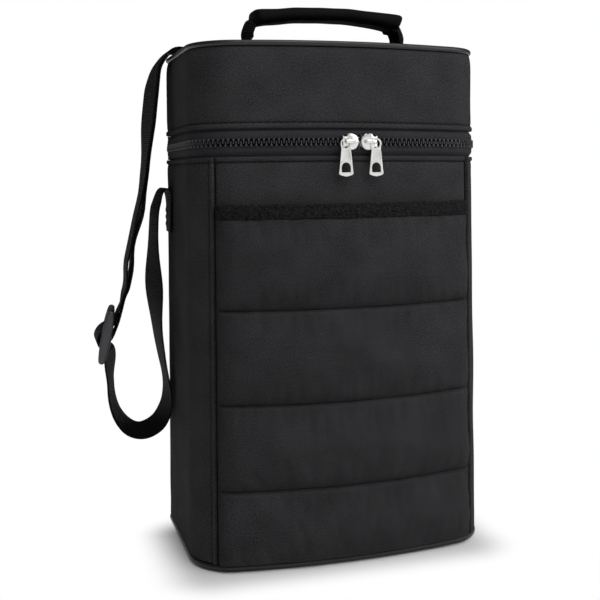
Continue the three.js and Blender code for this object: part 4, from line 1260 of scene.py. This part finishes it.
def first_length():
    """The sewn end, the free loop, and up over the adjuster's middle bar."""
    loop = [(0, 213), (0, 227), (0, 237), (0.9, 242.2), (3.6, 244.4), (6.4, 242), (8.6, 235.5)]
    loop += [(10.8, 225), (11.8, 195), (11.2, 171), (9.4, 145), (6.4, 124), (3.4, 108), (2.3, 97)]
    loop += [(3.6, 86.5), (9.6, 76), (20.5, 71), (30.6, 74.4), (38, 83.5), (41.8, 95), (42.9, 108)]
    weave = [(-17, -5.8), (-13, -5.3), (-10.6, -4.4), (-9, -2.4), (-8.4, 0.4), (-8, 3), (-6.6, 5.4)]
    weave += [(-4.2, 6.8), (-1.4, 6.9), (1.4, 6), (4, 4.4), (6.4, 2.3), (8.2, -0.2), (10.2, -2.4)]
    weave += [(13, -3.4), (16, -4.1)]
    return smooth_line(out_left(loop) + [at_adjuster(u, n) for u, n in weave], 5)


def doubled_line():
    """Middle line of the two layers that run from the slide over the lid to the ring."""
    rest = HEIGHT + CLEARANCE + WEBBING / 2 + LAYER / 2
    edge = WIDTH / 2

    def climb(t):
        return ADJUSTER_UP + SLOT_END + (BODY_TOP - ADJUSTER_UP - SLOT_END) * t

    def over_piping(angle, beyond):
        inset, middle, radius = TOP_PIPING
        r = radius + CLEARANCE + WEBBING + LAYER / 2 + beyond
        return (edge - inset + r * math.cos(angle), middle + r * math.sin(angle))

    out = ADJUSTER_OUT
    climbing = [(33.3, 168.5), (30.6, 178), (out * 0.61, climb(0.46)), (out * 0.465, climb(0.69))]
    climbing += [(out * 0.38, climb(0.94)), (14.8, LID_BOTTOM + 4.025), (12.6, LID_BOTTOM + 25.875)]
    climbing += [(10.8, LID_BOTTOM + 38.525), (7.2, LID_BOTTOM + 50.6)]
    points = [at_adjuster(SLOT_END + 11, -ON_FRAME - 4), *out_left(climbing)]
    points += [(-edge + 1, rest + 1.75), (-edge + 12, rest + 2.4), (-edge + 34, rest + 0.5)]
    points += [(-edge / 3, rest), (edge / 3, rest), (edge - 14, rest)]
    points += [over_piping(1.5, 0.15), over_piping(0.8, 0.25), over_piping(0.1, 0.6)]
    points += [(edge + 5, LID_BOTTOM + 40.25), (edge + 5.6, LID_BOTTOM), (RING_X + 0.5, BODY_TOP - 8)]
    points += [(RING_X, RING_TOP_BAR + 6)]
    return smooth_line(points, 5)


def layer_gap(t, x, z):
    """Half the distance between the doubled strap's layers, which part in two places beside the bag."""
    slack = 0
    if x < 0 and z < 275:
        slack = 1.2 * bell(z - 226, 13) + 1.3 * bell(z - 190, 10)
    return LAYER / 2 + 0.05 + slack + (ON_RING - LAYER / 2) * smoothstep((t - 0.86) / 0.14)


def loop_turn(x, z):
    """The free loop's twist: most where it swings out beside the bag, and again at its bottom."""
    leg = 0.05 + 0.21 * bell(z - 174.5, 22)
    leg *= smoothstep((x + 119) / 4) * smoothstep((z - 108) / 30) * smoothstep((243 - z) / 12)
    low = smoothstep((112 - z) / 38 if x > -123 else (138 - z) / 14)
    return leg + (0.15 + 0.08 * smoothstep((-123 - x) / 14)) * low


def strap_skew(x, z):
    """The strap's turn beside the slide, whose far side lies nearer the bag; it is less in the loop."""
    beside, above = x + STRAP_FACE + ADJUSTER_OUT, z - ADJUSTER_UP
    out = above * math.sin(ADJUSTER_TILT) - beside * math.cos(ADJUSTER_TILT)
    share = smoothstep((-128 - x) / 6) * smoothstep((34 - abs(z - ADJUSTER_UP)) / 16)
    return ADJUSTER_TURN * share * (1 - 0.8 * smoothstep((out - 1) / 4))


def doubled_turn(x, z):
    """The doubled strap's twist: nearly edge-on beside the body, and broad where it leaves the lid."""
    if x > 0:
        return 0
    slim = -0.04 * smoothstep((z - 160) / 12) * smoothstep((258 - z) / 20)
    return slim + 0.14 * smoothstep((z - 262) / 34) * smoothstep((339 - z) / 26)


def strap_line():
    """The whole strap's line, and how far it is turned at each point."""
    middle = doubled_line()
    sides = across_line(middle)
    last = len(middle) - 1
    outer, inner = [], []
    for i, ((x, z), (nx, nz)) in enumerate(zip(middle, sides)):
        g = layer_gap(i / last, x, z)
        outer.append((x + nx * g, z + nz * g))
        inner.append((x - nx * g, z - nz * g))
    turn = arc(RING_X, RING_TOP_BAR, ON_RING + 0.05, 0, -180, 10)
    wrap = [(16, -6.9), (11.5, -6.5), (8.2, -6), (5.2, -5.4), (2, -4.8), (-0.6, -4), (-2, -3.2)]
    wrap += arc(-2, -1.5, 0.93, -120, -180, 3) + [(-3.2, 0), (-4.4, 2), (-4.6, 3.8), (-3.6, 5.1), (-1.6, 5.5)]
    wrap += [(0.9, 4.7), (3.2, 3.2), (5.2, 1.3), (7, -1.3), (9, -3.5), (12, -4.8), (15.4, -5.4)]
    end = [at_adjuster(u, n) for u, n in wrap]
    first = first_length()
    line = first + outer + turn + inner[::-1] + end
    turns = [loop_turn(*p) for p in first] + [-doubled_turn(*p) for p in outer] + [0] * len(turn)
    return line, turns + [doubled_turn(*p) for p in inner[::-1]] + [0] * len(end)


def make_strap():
    line, turns = strap_line()
    kept = [0]
    for i in range(1, len(line)):
        if math.dist(line[i], line[kept[-1]]) > 0.25:
            kept.append(i)
    line, turns = [line[i] for i in kept], [turns[i] for i in kept]
    length = sum(math.dist(a, b) for a, b in zip(line, line[1:]))
    skews = [strap_skew(*p) for p in line]
    strap = webbing_piece(
        "shoulder_strap_webbing", None, "strap_webbing", line, STRAP_Y, STRAP_WIDTH, turns=turns, skews=skews
    )
    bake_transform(strap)
    low_bar = RING_Z - 5
    outer = STRAP_FACE + LAYER
    tab = [(STRAP_FACE, low_bar - 24), (STRAP_FACE, low_bar - 12), (STRAP_FACE, low_bar - 3)]
    tab += arc(RING_X, low_bar, ON_RING + 0.05, 180, -29, 9)
    tab += [(outer + 0.5, low_bar - 5.04)] + [(outer, low_bar - d) for d in (9.12, 14, 20.16)]
    webbing_piece("strap_tab_webbing", "bag", "strap_tab", tab, STRAP_Y, STRAP_WIDTH)


def slide_rail(side):
    """One of the slide's deep side rails, fullest at its middle."""
    rings = []
    for u in (-18.6, -18.3, -17.5, -15, -10, -5, 0, 5, 10, 15, 17.5, 18.3, 18.6):
        keep = math.sqrt(max(0.1, 1 - max(0, (abs(u) - 16.6) / 2.1) ** 2))
        deep = (2.2 + 1.5 * (1 - (u / 18.6) ** 2)) * keep
        ring = []
        for c, s in circle(14):
            x, z = at_adjuster(u, blunt(c, 0.6) * deep)
            y = STRAP_Y + side * 17.8 + blunt(s, 0.6) * 1.6 * keep
            ring.append(Vector((x, y, z)) * MM)
        rings.append(ring)
    return shell(rings)


def make_adjuster():
    """Moulded slide: the CAD solid's copy with its edges well rounded, and its side rails."""
    work = bmesh.new()
    work.from_mesh(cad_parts["strap_adjuster"].data)
    bmesh.ops.remove_doubles(work, verts=work.verts, dist=1e-6)
    bmesh.ops.dissolve_limit(work, angle_limit=math.radians(2), verts=work.verts, edges=work.edges)
    mesh = bpy.data.meshes.new("strap_adjuster_slide")
    work.to_mesh(mesh)
    work.free()
    mesh.materials.clear()
    mesh.materials.append(finishes["plastic"])
    middle = Vector((-STRAP_FACE - ADJUSTER_OUT, 0, ADJUSTER_UP)) * MM
    lean = Matrix.Rotation(ADJUSTER_TILT - SOLID_TILT, 4, "Y")
    mesh.transform(Matrix.Translation(middle) @ lean @ Matrix.Translation((-middle.x, 0, -SOLID_UP * MM)))
    piece = add_object("strap_adjuster_slide", mesh)
    bevel = piece.modifiers.new("bevel", "BEVEL")
    bevel.width = 0.9 * MM
    bevel.segments = 4
    bevel.limit_method = "ANGLE"
    bevel.angle_limit = math.radians(40)
    slide = plain_mesh(piece).data
    bpy.data.objects.remove(piece)
    centre = Matrix.Translation(middle + Vector((0, STRAP_Y * MM, 0)))
    turned = centre @ Matrix.Rotation(-ADJUSTER_TURN, 4, "Z") @ centre.inverted()
    piece = joined("strap_adjuster_slide", [slide, slide_rail(-1), slide_rail(1)], "plastic", turned, 50)
    stand_for(piece, "bag", "plastic", "strap_adjuster")


def make_ring():
    """Rectangular ring of round wire on the right side."""
    bend, wire = 3, 1.5
    a, b = 17.5 - bend, 5 - bend
    path = rounded([(a, b), (-a, b), (-a, -b), (a, -b)], bend, 8)
    rings = []
    for i, (y, z) in enumerate(path):
        y0, z0 = path[i - 1]
        y1, z1 = path[(i + 1) % len(path)]
        size = math.hypot(y1 - y0, z1 - z0)
        ny, nz = (z1 - z0) / size, -(y1 - y0) / size
        ring = []
        for c, d in circle(12):
            side = wire * c
            at = (RING_X + wire * d, STRAP_Y + y + ny * side, RING_Z + z + nz * side)
            ring.append(Vector(at) * MM)
        rings.append(ring)
    ring = loft("strap_ring_wire", rings, "nickel", closed=True)
    stand_for(ring, "bag", "nickel", "strap_ring")


# Carrying handle


def handle_line():
    leg = 59.2
    top = LID_TOP + 3.0
    left = [(-leg + 8.4, top + 0.3), (-leg + 3.2, top + 1.4), (-leg + 0.3, top + 5), (-leg - 0.6, top + 11)]
    left += [(-leg + 1.4, GRIP_MIDDLE - 5), (-55.6, GRIP_MIDDLE - 2), (-50, GRIP_MIDDLE - 0.8)]
    left += [(-28.25, GRIP_MIDDLE + 2.3)]
    right = [(-x, z) for x, z in reversed(left)]
    return [(x + 0.8, z) for x, z in smooth_line([*left, (0, GRIP_MIDDLE + 3.4), *right], 6)]


def leg_fold(x, z):
    """The webbing is gathered where it goes into the sleeve."""
    if abs(x) < 50:
        return 2
    return 6 * smoothstep((z - LID_TOP - 3.8) / 7)


def make_handle():
    line = handle_line()
    folds = [leg_fold(*p) for p in line]
    webbing = webbing_piece(
        "handle_strap_webbing", None, "handle_webbing", line, HANDLE_Y, HANDLE_WIDTH, folds=folds
    )
    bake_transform(webbing)
    make_grip()
    for side, node in ((-1, "handle_left_patch"), (1, "handle_right_patch")):
        height = LID_TOP + CLEARANCE + PATCH_THICKNESS / 2
        places = with_ends(-PATCH_HALF, PATCH_HALF, [0, 0.3, 1], 6, 5)
        line = [(side * PATCH_X + d, height) for d in places]
        webbing_piece(f"{node}_webbing", "lid", node, line, HANDLE_Y, HANDLE_WIDTH, PATCH_THICKNESS)


def make_grip():
    """Padded sleeve, arched and fuller at its ends, with its seam underneath."""
    half = 53.6
    stations = [-1, -0.992, -0.975, -0.95, -0.91] + [i / 20 * 0.88 for i in range(-20, 21)]
    stations += [0.91, 0.95, 0.975, 0.992, 1]
    wave = unevenness(91, 22, 0.22)
    rings = []
    for t in stations:
        x = t * half + 2.2
        z = GRIP_MIDDLE - 0.4 + 4 * (1 - t * t) - 0.7 * max(0, t) ** 3
        lean = 0.4 * smoothstep((t - 0.6) / 0.4) - 0.15 * smoothstep((-t - 0.6) / 0.4)
        full = 0.72 + 0.28 * math.sqrt(max(0, 1 - max(0, (abs(t) - 0.93) / 0.07) ** 2))
        ring = []
        for k in range(32):
            a = 2 * math.pi * k / 32
            c, s = math.cos(a), math.sin(a)
            y = blunt(c, 0.62) * 13.4 * full
            up = blunt(s, 0.8) * (4.8 + 0.9 * t * t + 0.4 * max(0, t) ** 3) * full
            seam = -0.5 * bell(k - 24, 1.2) * (1 if s < 0 else 0)
            up -= seam
            ring.append(Vector((x + lean * up, HANDLE_Y + y, z + up + wave(x, 8 * a))) * MM)
        rings.append(ring)
    grip = loft("handle_grip_sleeve", rings, "grip", along=[t * half * MM for t in stations], sharp=60)
    stand_for(grip, "carry_handle", "webbing", "handle_grip")


# Stitching

STITCH = 4.4  # from one stitch to the next


def thread_shape():
    """One stitch along x, its ends drawn into the cloth below."""
    rings = []
    end, shoulder = (1.9, -0.5, 0.15), (1.4, 0.02, 0.27)
    for x, z, r in ((-end[0], *end[1:]), (-shoulder[0], *shoulder[1:]), (0, 0.16, 0.33), shoulder, end):
        rings.append([Vector((x, r * c, z + r * d)) * MM for c, d in circle(6)])
    shape = loft("stitch_shape", rings, "thread", sharp=80)
    bpy.context.collection.objects.unlink(shape)
    return shape


def wall_row(s0, z0, s1, z1, height):
    """Stitches on the wall from one place to another; height gives how far out the cloth lies there."""
    count = max(1, round(math.hypot(s1 - s0, z1 - z0) / STITCH))

    def on_cloth(s, z):
        return spot(s, height(s, z), z)

    row = []
    for i in range(count):
        t = (i + 0.5) / count
        s, z = s0 + (s1 - s0) * t, z0 + (z1 - z0) * t
        ds, dz = (s1 - s0) / count * 0.3, (z1 - z0) / count * 0.3
        ahead = (on_cloth(s + ds, z + dz) - on_cloth(s - ds, z - dz)).normalized()
        side = outward(s).cross(ahead).normalized()
        row.append((on_cloth(s, z), ahead, side, ahead.cross(side)))
    return row


def flat_row(start, end, out):
    """Stitches in a straight line on a flat place, in millimetres."""
    start, end, out = Vector(start), Vector(end), Vector(out)
    count = max(1, round((end - start).length / STITCH))
    ahead = (end - start).normalized()
    side = out.cross(ahead).normalized()
    return [
        ((start + (end - start) * ((i + 0.5) / count)) * MM, ahead, side, ahead.cross(side))
        for i in range(count)
    ]


def box_rows(corner, across, along, out):
    """A sewn box with its two diagonals."""
    a = Vector(corner)
    b, d = a + Vector(across), a + Vector(along)
    c = b + Vector(along)
    rows = []
    for start, end in ((a, b), (b, c), (c, d), (d, a), (a, c), (b, d)):
        rows += flat_row(start, end, out)
    return rows


def make_stitching():
    thread = thread_shape()
    seam = SEAM + SEAM_GAP + HEM
    back = BACK_SEAM - SEAM_GAP - HEM
    hem_z = BODY_TOP - HEM

    def flat(s, z):
        return -0.5

    body = wall_row(-HALF, hem_z, HALF, hem_z, flat)
    for s in (-back, -seam, seam, back):
        body += wall_row(s, 8, s, hem_z - 1, flat)
    half = 12  # of the width of the strap's and the tab's boxes
    body += box_rows((-103.1, STRAP_Y - half, 216), (0, 2 * half, 0), (0, 0, 15), (-1, 0, 0))
    body += box_rows((104.7, STRAP_Y - half, 211.5), (0, 2 * half, 0), (0, 0, 13), (1, 0, 0))

    def quilt(s, z):
        return pocket_back(s, z) + 0.1

    def bound(s, z):
        return binding_outer(s) + 0.72

    pocket = []
    for z in QUILT_SEAMS:
        pocket += wall_row(-SEAM + 2, z, SEAM - 2, z, quilt)
    for z in BINDING_ROWS:
        pocket += wall_row(-SEAM + 2, z, SEAM - 2, z, bound)

    lid = wall_row(-HALF, LID_BOTTOM + LID_HEM, HALF, LID_BOTTOM + LID_HEM, flat)
    for side in (-1, 1):
        corner = (side * PATCH_X - 8.5, HANDLE_Y - 9.5, LID_TOP + 2.75)
        lid += box_rows(corner, (17, 0, 0), (0, 19, 0), (0, 0, 1))
    for name, rides_on, rows in (("body", "bag", body), ("pocket", "bag", pocket), ("lid", "lid", lid)):
        stand_for(repeated(f"{name}_stitches", thread, rows, "thread"), rides_on, "fabric")
    bpy.data.objects.remove(thread)


# Light and floor


def make_floor():
    """A floor that keeps the bag's real cast shadow and adds a painted shadow: it is grey near the bag's
    foot, and fades into the white around it.
    """
    material, tree, surface = new_material("pale_floor", Roughness=0.9, Specular_IOR_Level=0.0)
    # Painted shadow: this grey, darker than the white beyond, shades the floor near the bag's foot along with
    # its real shadow
    surface.inputs["Base Color"].default_value = (0.66, 0.66, 0.66, 1)
    place = add_node(tree, "ShaderNodeTexCoord").outputs["Object"]
    # The painted shadow's part, in metres: away from its middle by more than half its size, the grey floor
    # fades to white
    to_painted_shadow_middle, painted_shadow_half_size, painted_shadow_fade_width = (0.006, 0.02, 0), (0.086, 0.036, 0), 0.045
    place = add_node(tree, "ShaderNodeVectorMath", {0: place, 1: to_painted_shadow_middle}, operation="ADD")
    near = add_node(tree, "ShaderNodeVectorMath", {0: place}, operation="ABSOLUTE")
    beyond = add_node(tree, "ShaderNodeVectorMath", {0: near, 1: painted_shadow_half_size}, operation="SUBTRACT")
    beyond = add_node(tree, "ShaderNodeVectorMath", {0: beyond, 1: (0, 0, 0)}, operation="MAXIMUM")
    away = add_node(tree, "ShaderNodeVectorMath", {0: beyond}, operation="LENGTH").outputs["Value"]
    edge = {"Value": away, "From Min": 0.0, "From Max": painted_shadow_fade_width}
    out_of_painted_shadow = add_node(tree, "ShaderNodeMapRange", edge, interpolation_type="SMOOTHERSTEP")
    rays = add_node(tree, "ShaderNodeLightPath").outputs
    seen = {0: rays["Is Camera Ray"], 1: rays["Is Glossy Ray"]}
    seen = add_node(tree, "ShaderNodeMath", seen, operation="MAXIMUM")
    seen = add_node(tree, "ShaderNodeMath", {0: seen, 1: rays["Is Transmission Ray"]}, operation="MAXIMUM")
    share = add_node(tree, "ShaderNodeMath", {0: out_of_painted_shadow, 1: seen}, operation="MULTIPLY")
    white = add_node(tree, "ShaderNodeEmission", {"Color": (1, 1, 1, 1), "Strength": 1.0})
    mix = add_node(tree, "ShaderNodeMixShader", {0: share, 1: surface, 2: white})
    tree.links.new(mix.outputs[0], tree.nodes["Material Output"].inputs["Surface"])
    mesh = bpy.data.meshes.new("floor")
    r = 3
    mesh.from_pydata([(-r, -r, 0), (r, -r, 0), (r, r, 0), (-r, r, 0)], [], [(0, 1, 2, 3)])
    mesh.materials.append(material)
    floor = add_object("floor", mesh)


def make_lights():
    world = bpy.data.worlds.new("studio")
    bpy.context.scene.world = world
    world.use_nodes = True
    tree = world.node_tree
    soft = tree.nodes["Background"]
    soft.inputs["Color"].default_value = (0.98, 0.98, 1, 1)
    soft.inputs["Strength"].default_value = 0.3
    white = add_node(tree, "ShaderNodeBackground", {"Color": (1, 1, 1, 1), "Strength": 1.0})
    rays = add_node(tree, "ShaderNodeLightPath").outputs
    shown = {0: rays["Is Camera Ray"], 1: rays["Is Transmission Ray"]}
    shown = add_node(tree, "ShaderNodeMath", shown, operation="MAXIMUM")
    mix = add_node(tree, "ShaderNodeMixShader", {0: shown, 1: soft, 2: white})
    # What metal mirrors: a white screen in front of the bag, in a grey room
    facing = add_node(tree, "ShaderNodeTexCoord").outputs["Generated"]
    ahead = add_node(tree, "ShaderNodeVectorMath", {0: facing, 1: (0, -1, 0)}, operation="DOT_PRODUCT")
    screen = {"Value": ahead.outputs["Value"], "From Min": 0.86, "From Max": 0.95}
    screen |= {"To Min": 0.1, "To Max": 1.0}
    room = add_node(tree, "ShaderNodeMapRange", screen, interpolation_type="SMOOTHSTEP")
    mirrored = add_node(tree, "ShaderNodeBackground", {"Color": (1, 1, 1, 1), "Strength": room})
    mix = add_node(tree, "ShaderNodeMixShader", {0: rays["Is Glossy Ray"], 1: mix, 2: mirrored})
    tree.links.new(mix.outputs[0], tree.nodes["World Output"].inputs["Surface"])
    for name, place, size, power in (
        ("key", (1.35, -0.95, 0.85), 1.2, 14),
        ("fill", (-1.2, -1.5, 0.7), 1.4, 1),
        ("top", (0.25, -0.75, 1.6), 1.0, 14),
    ):
        light = bpy.data.lights.new(name, "AREA")
        light.size = size
        light.energy = power
        lamp = add_object(name, light)
        lamp.location = place
        aim = Vector((0, 0, 0.17)) - Vector(place)
        lamp.rotation_euler = aim.to_track_quat("-Z", "Y").to_euler()


# The bag

make_front_panel()
make_gussets()
make_back_panel()
make_lid_band()
make_top_and_base()
make_piping("base_piping_cord", "bag", *BASE_PIPING, "base_piping")
make_piping("top_piping_cord", "lid", *TOP_PIPING, "top_piping")
make_foams()
make_linings()
make_hinge()
make_pocket()
make_binding()
make_zip()
make_sliders()
make_adjuster()
make_ring()
make_strap()
make_handle()
make_stitching()

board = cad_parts["base_board"]
board.data.materials.clear()
board.data.materials.append(finishes["board"])

make_floor()
make_lights()
bpy.context.scene.view_settings.view_transform = "Standard"
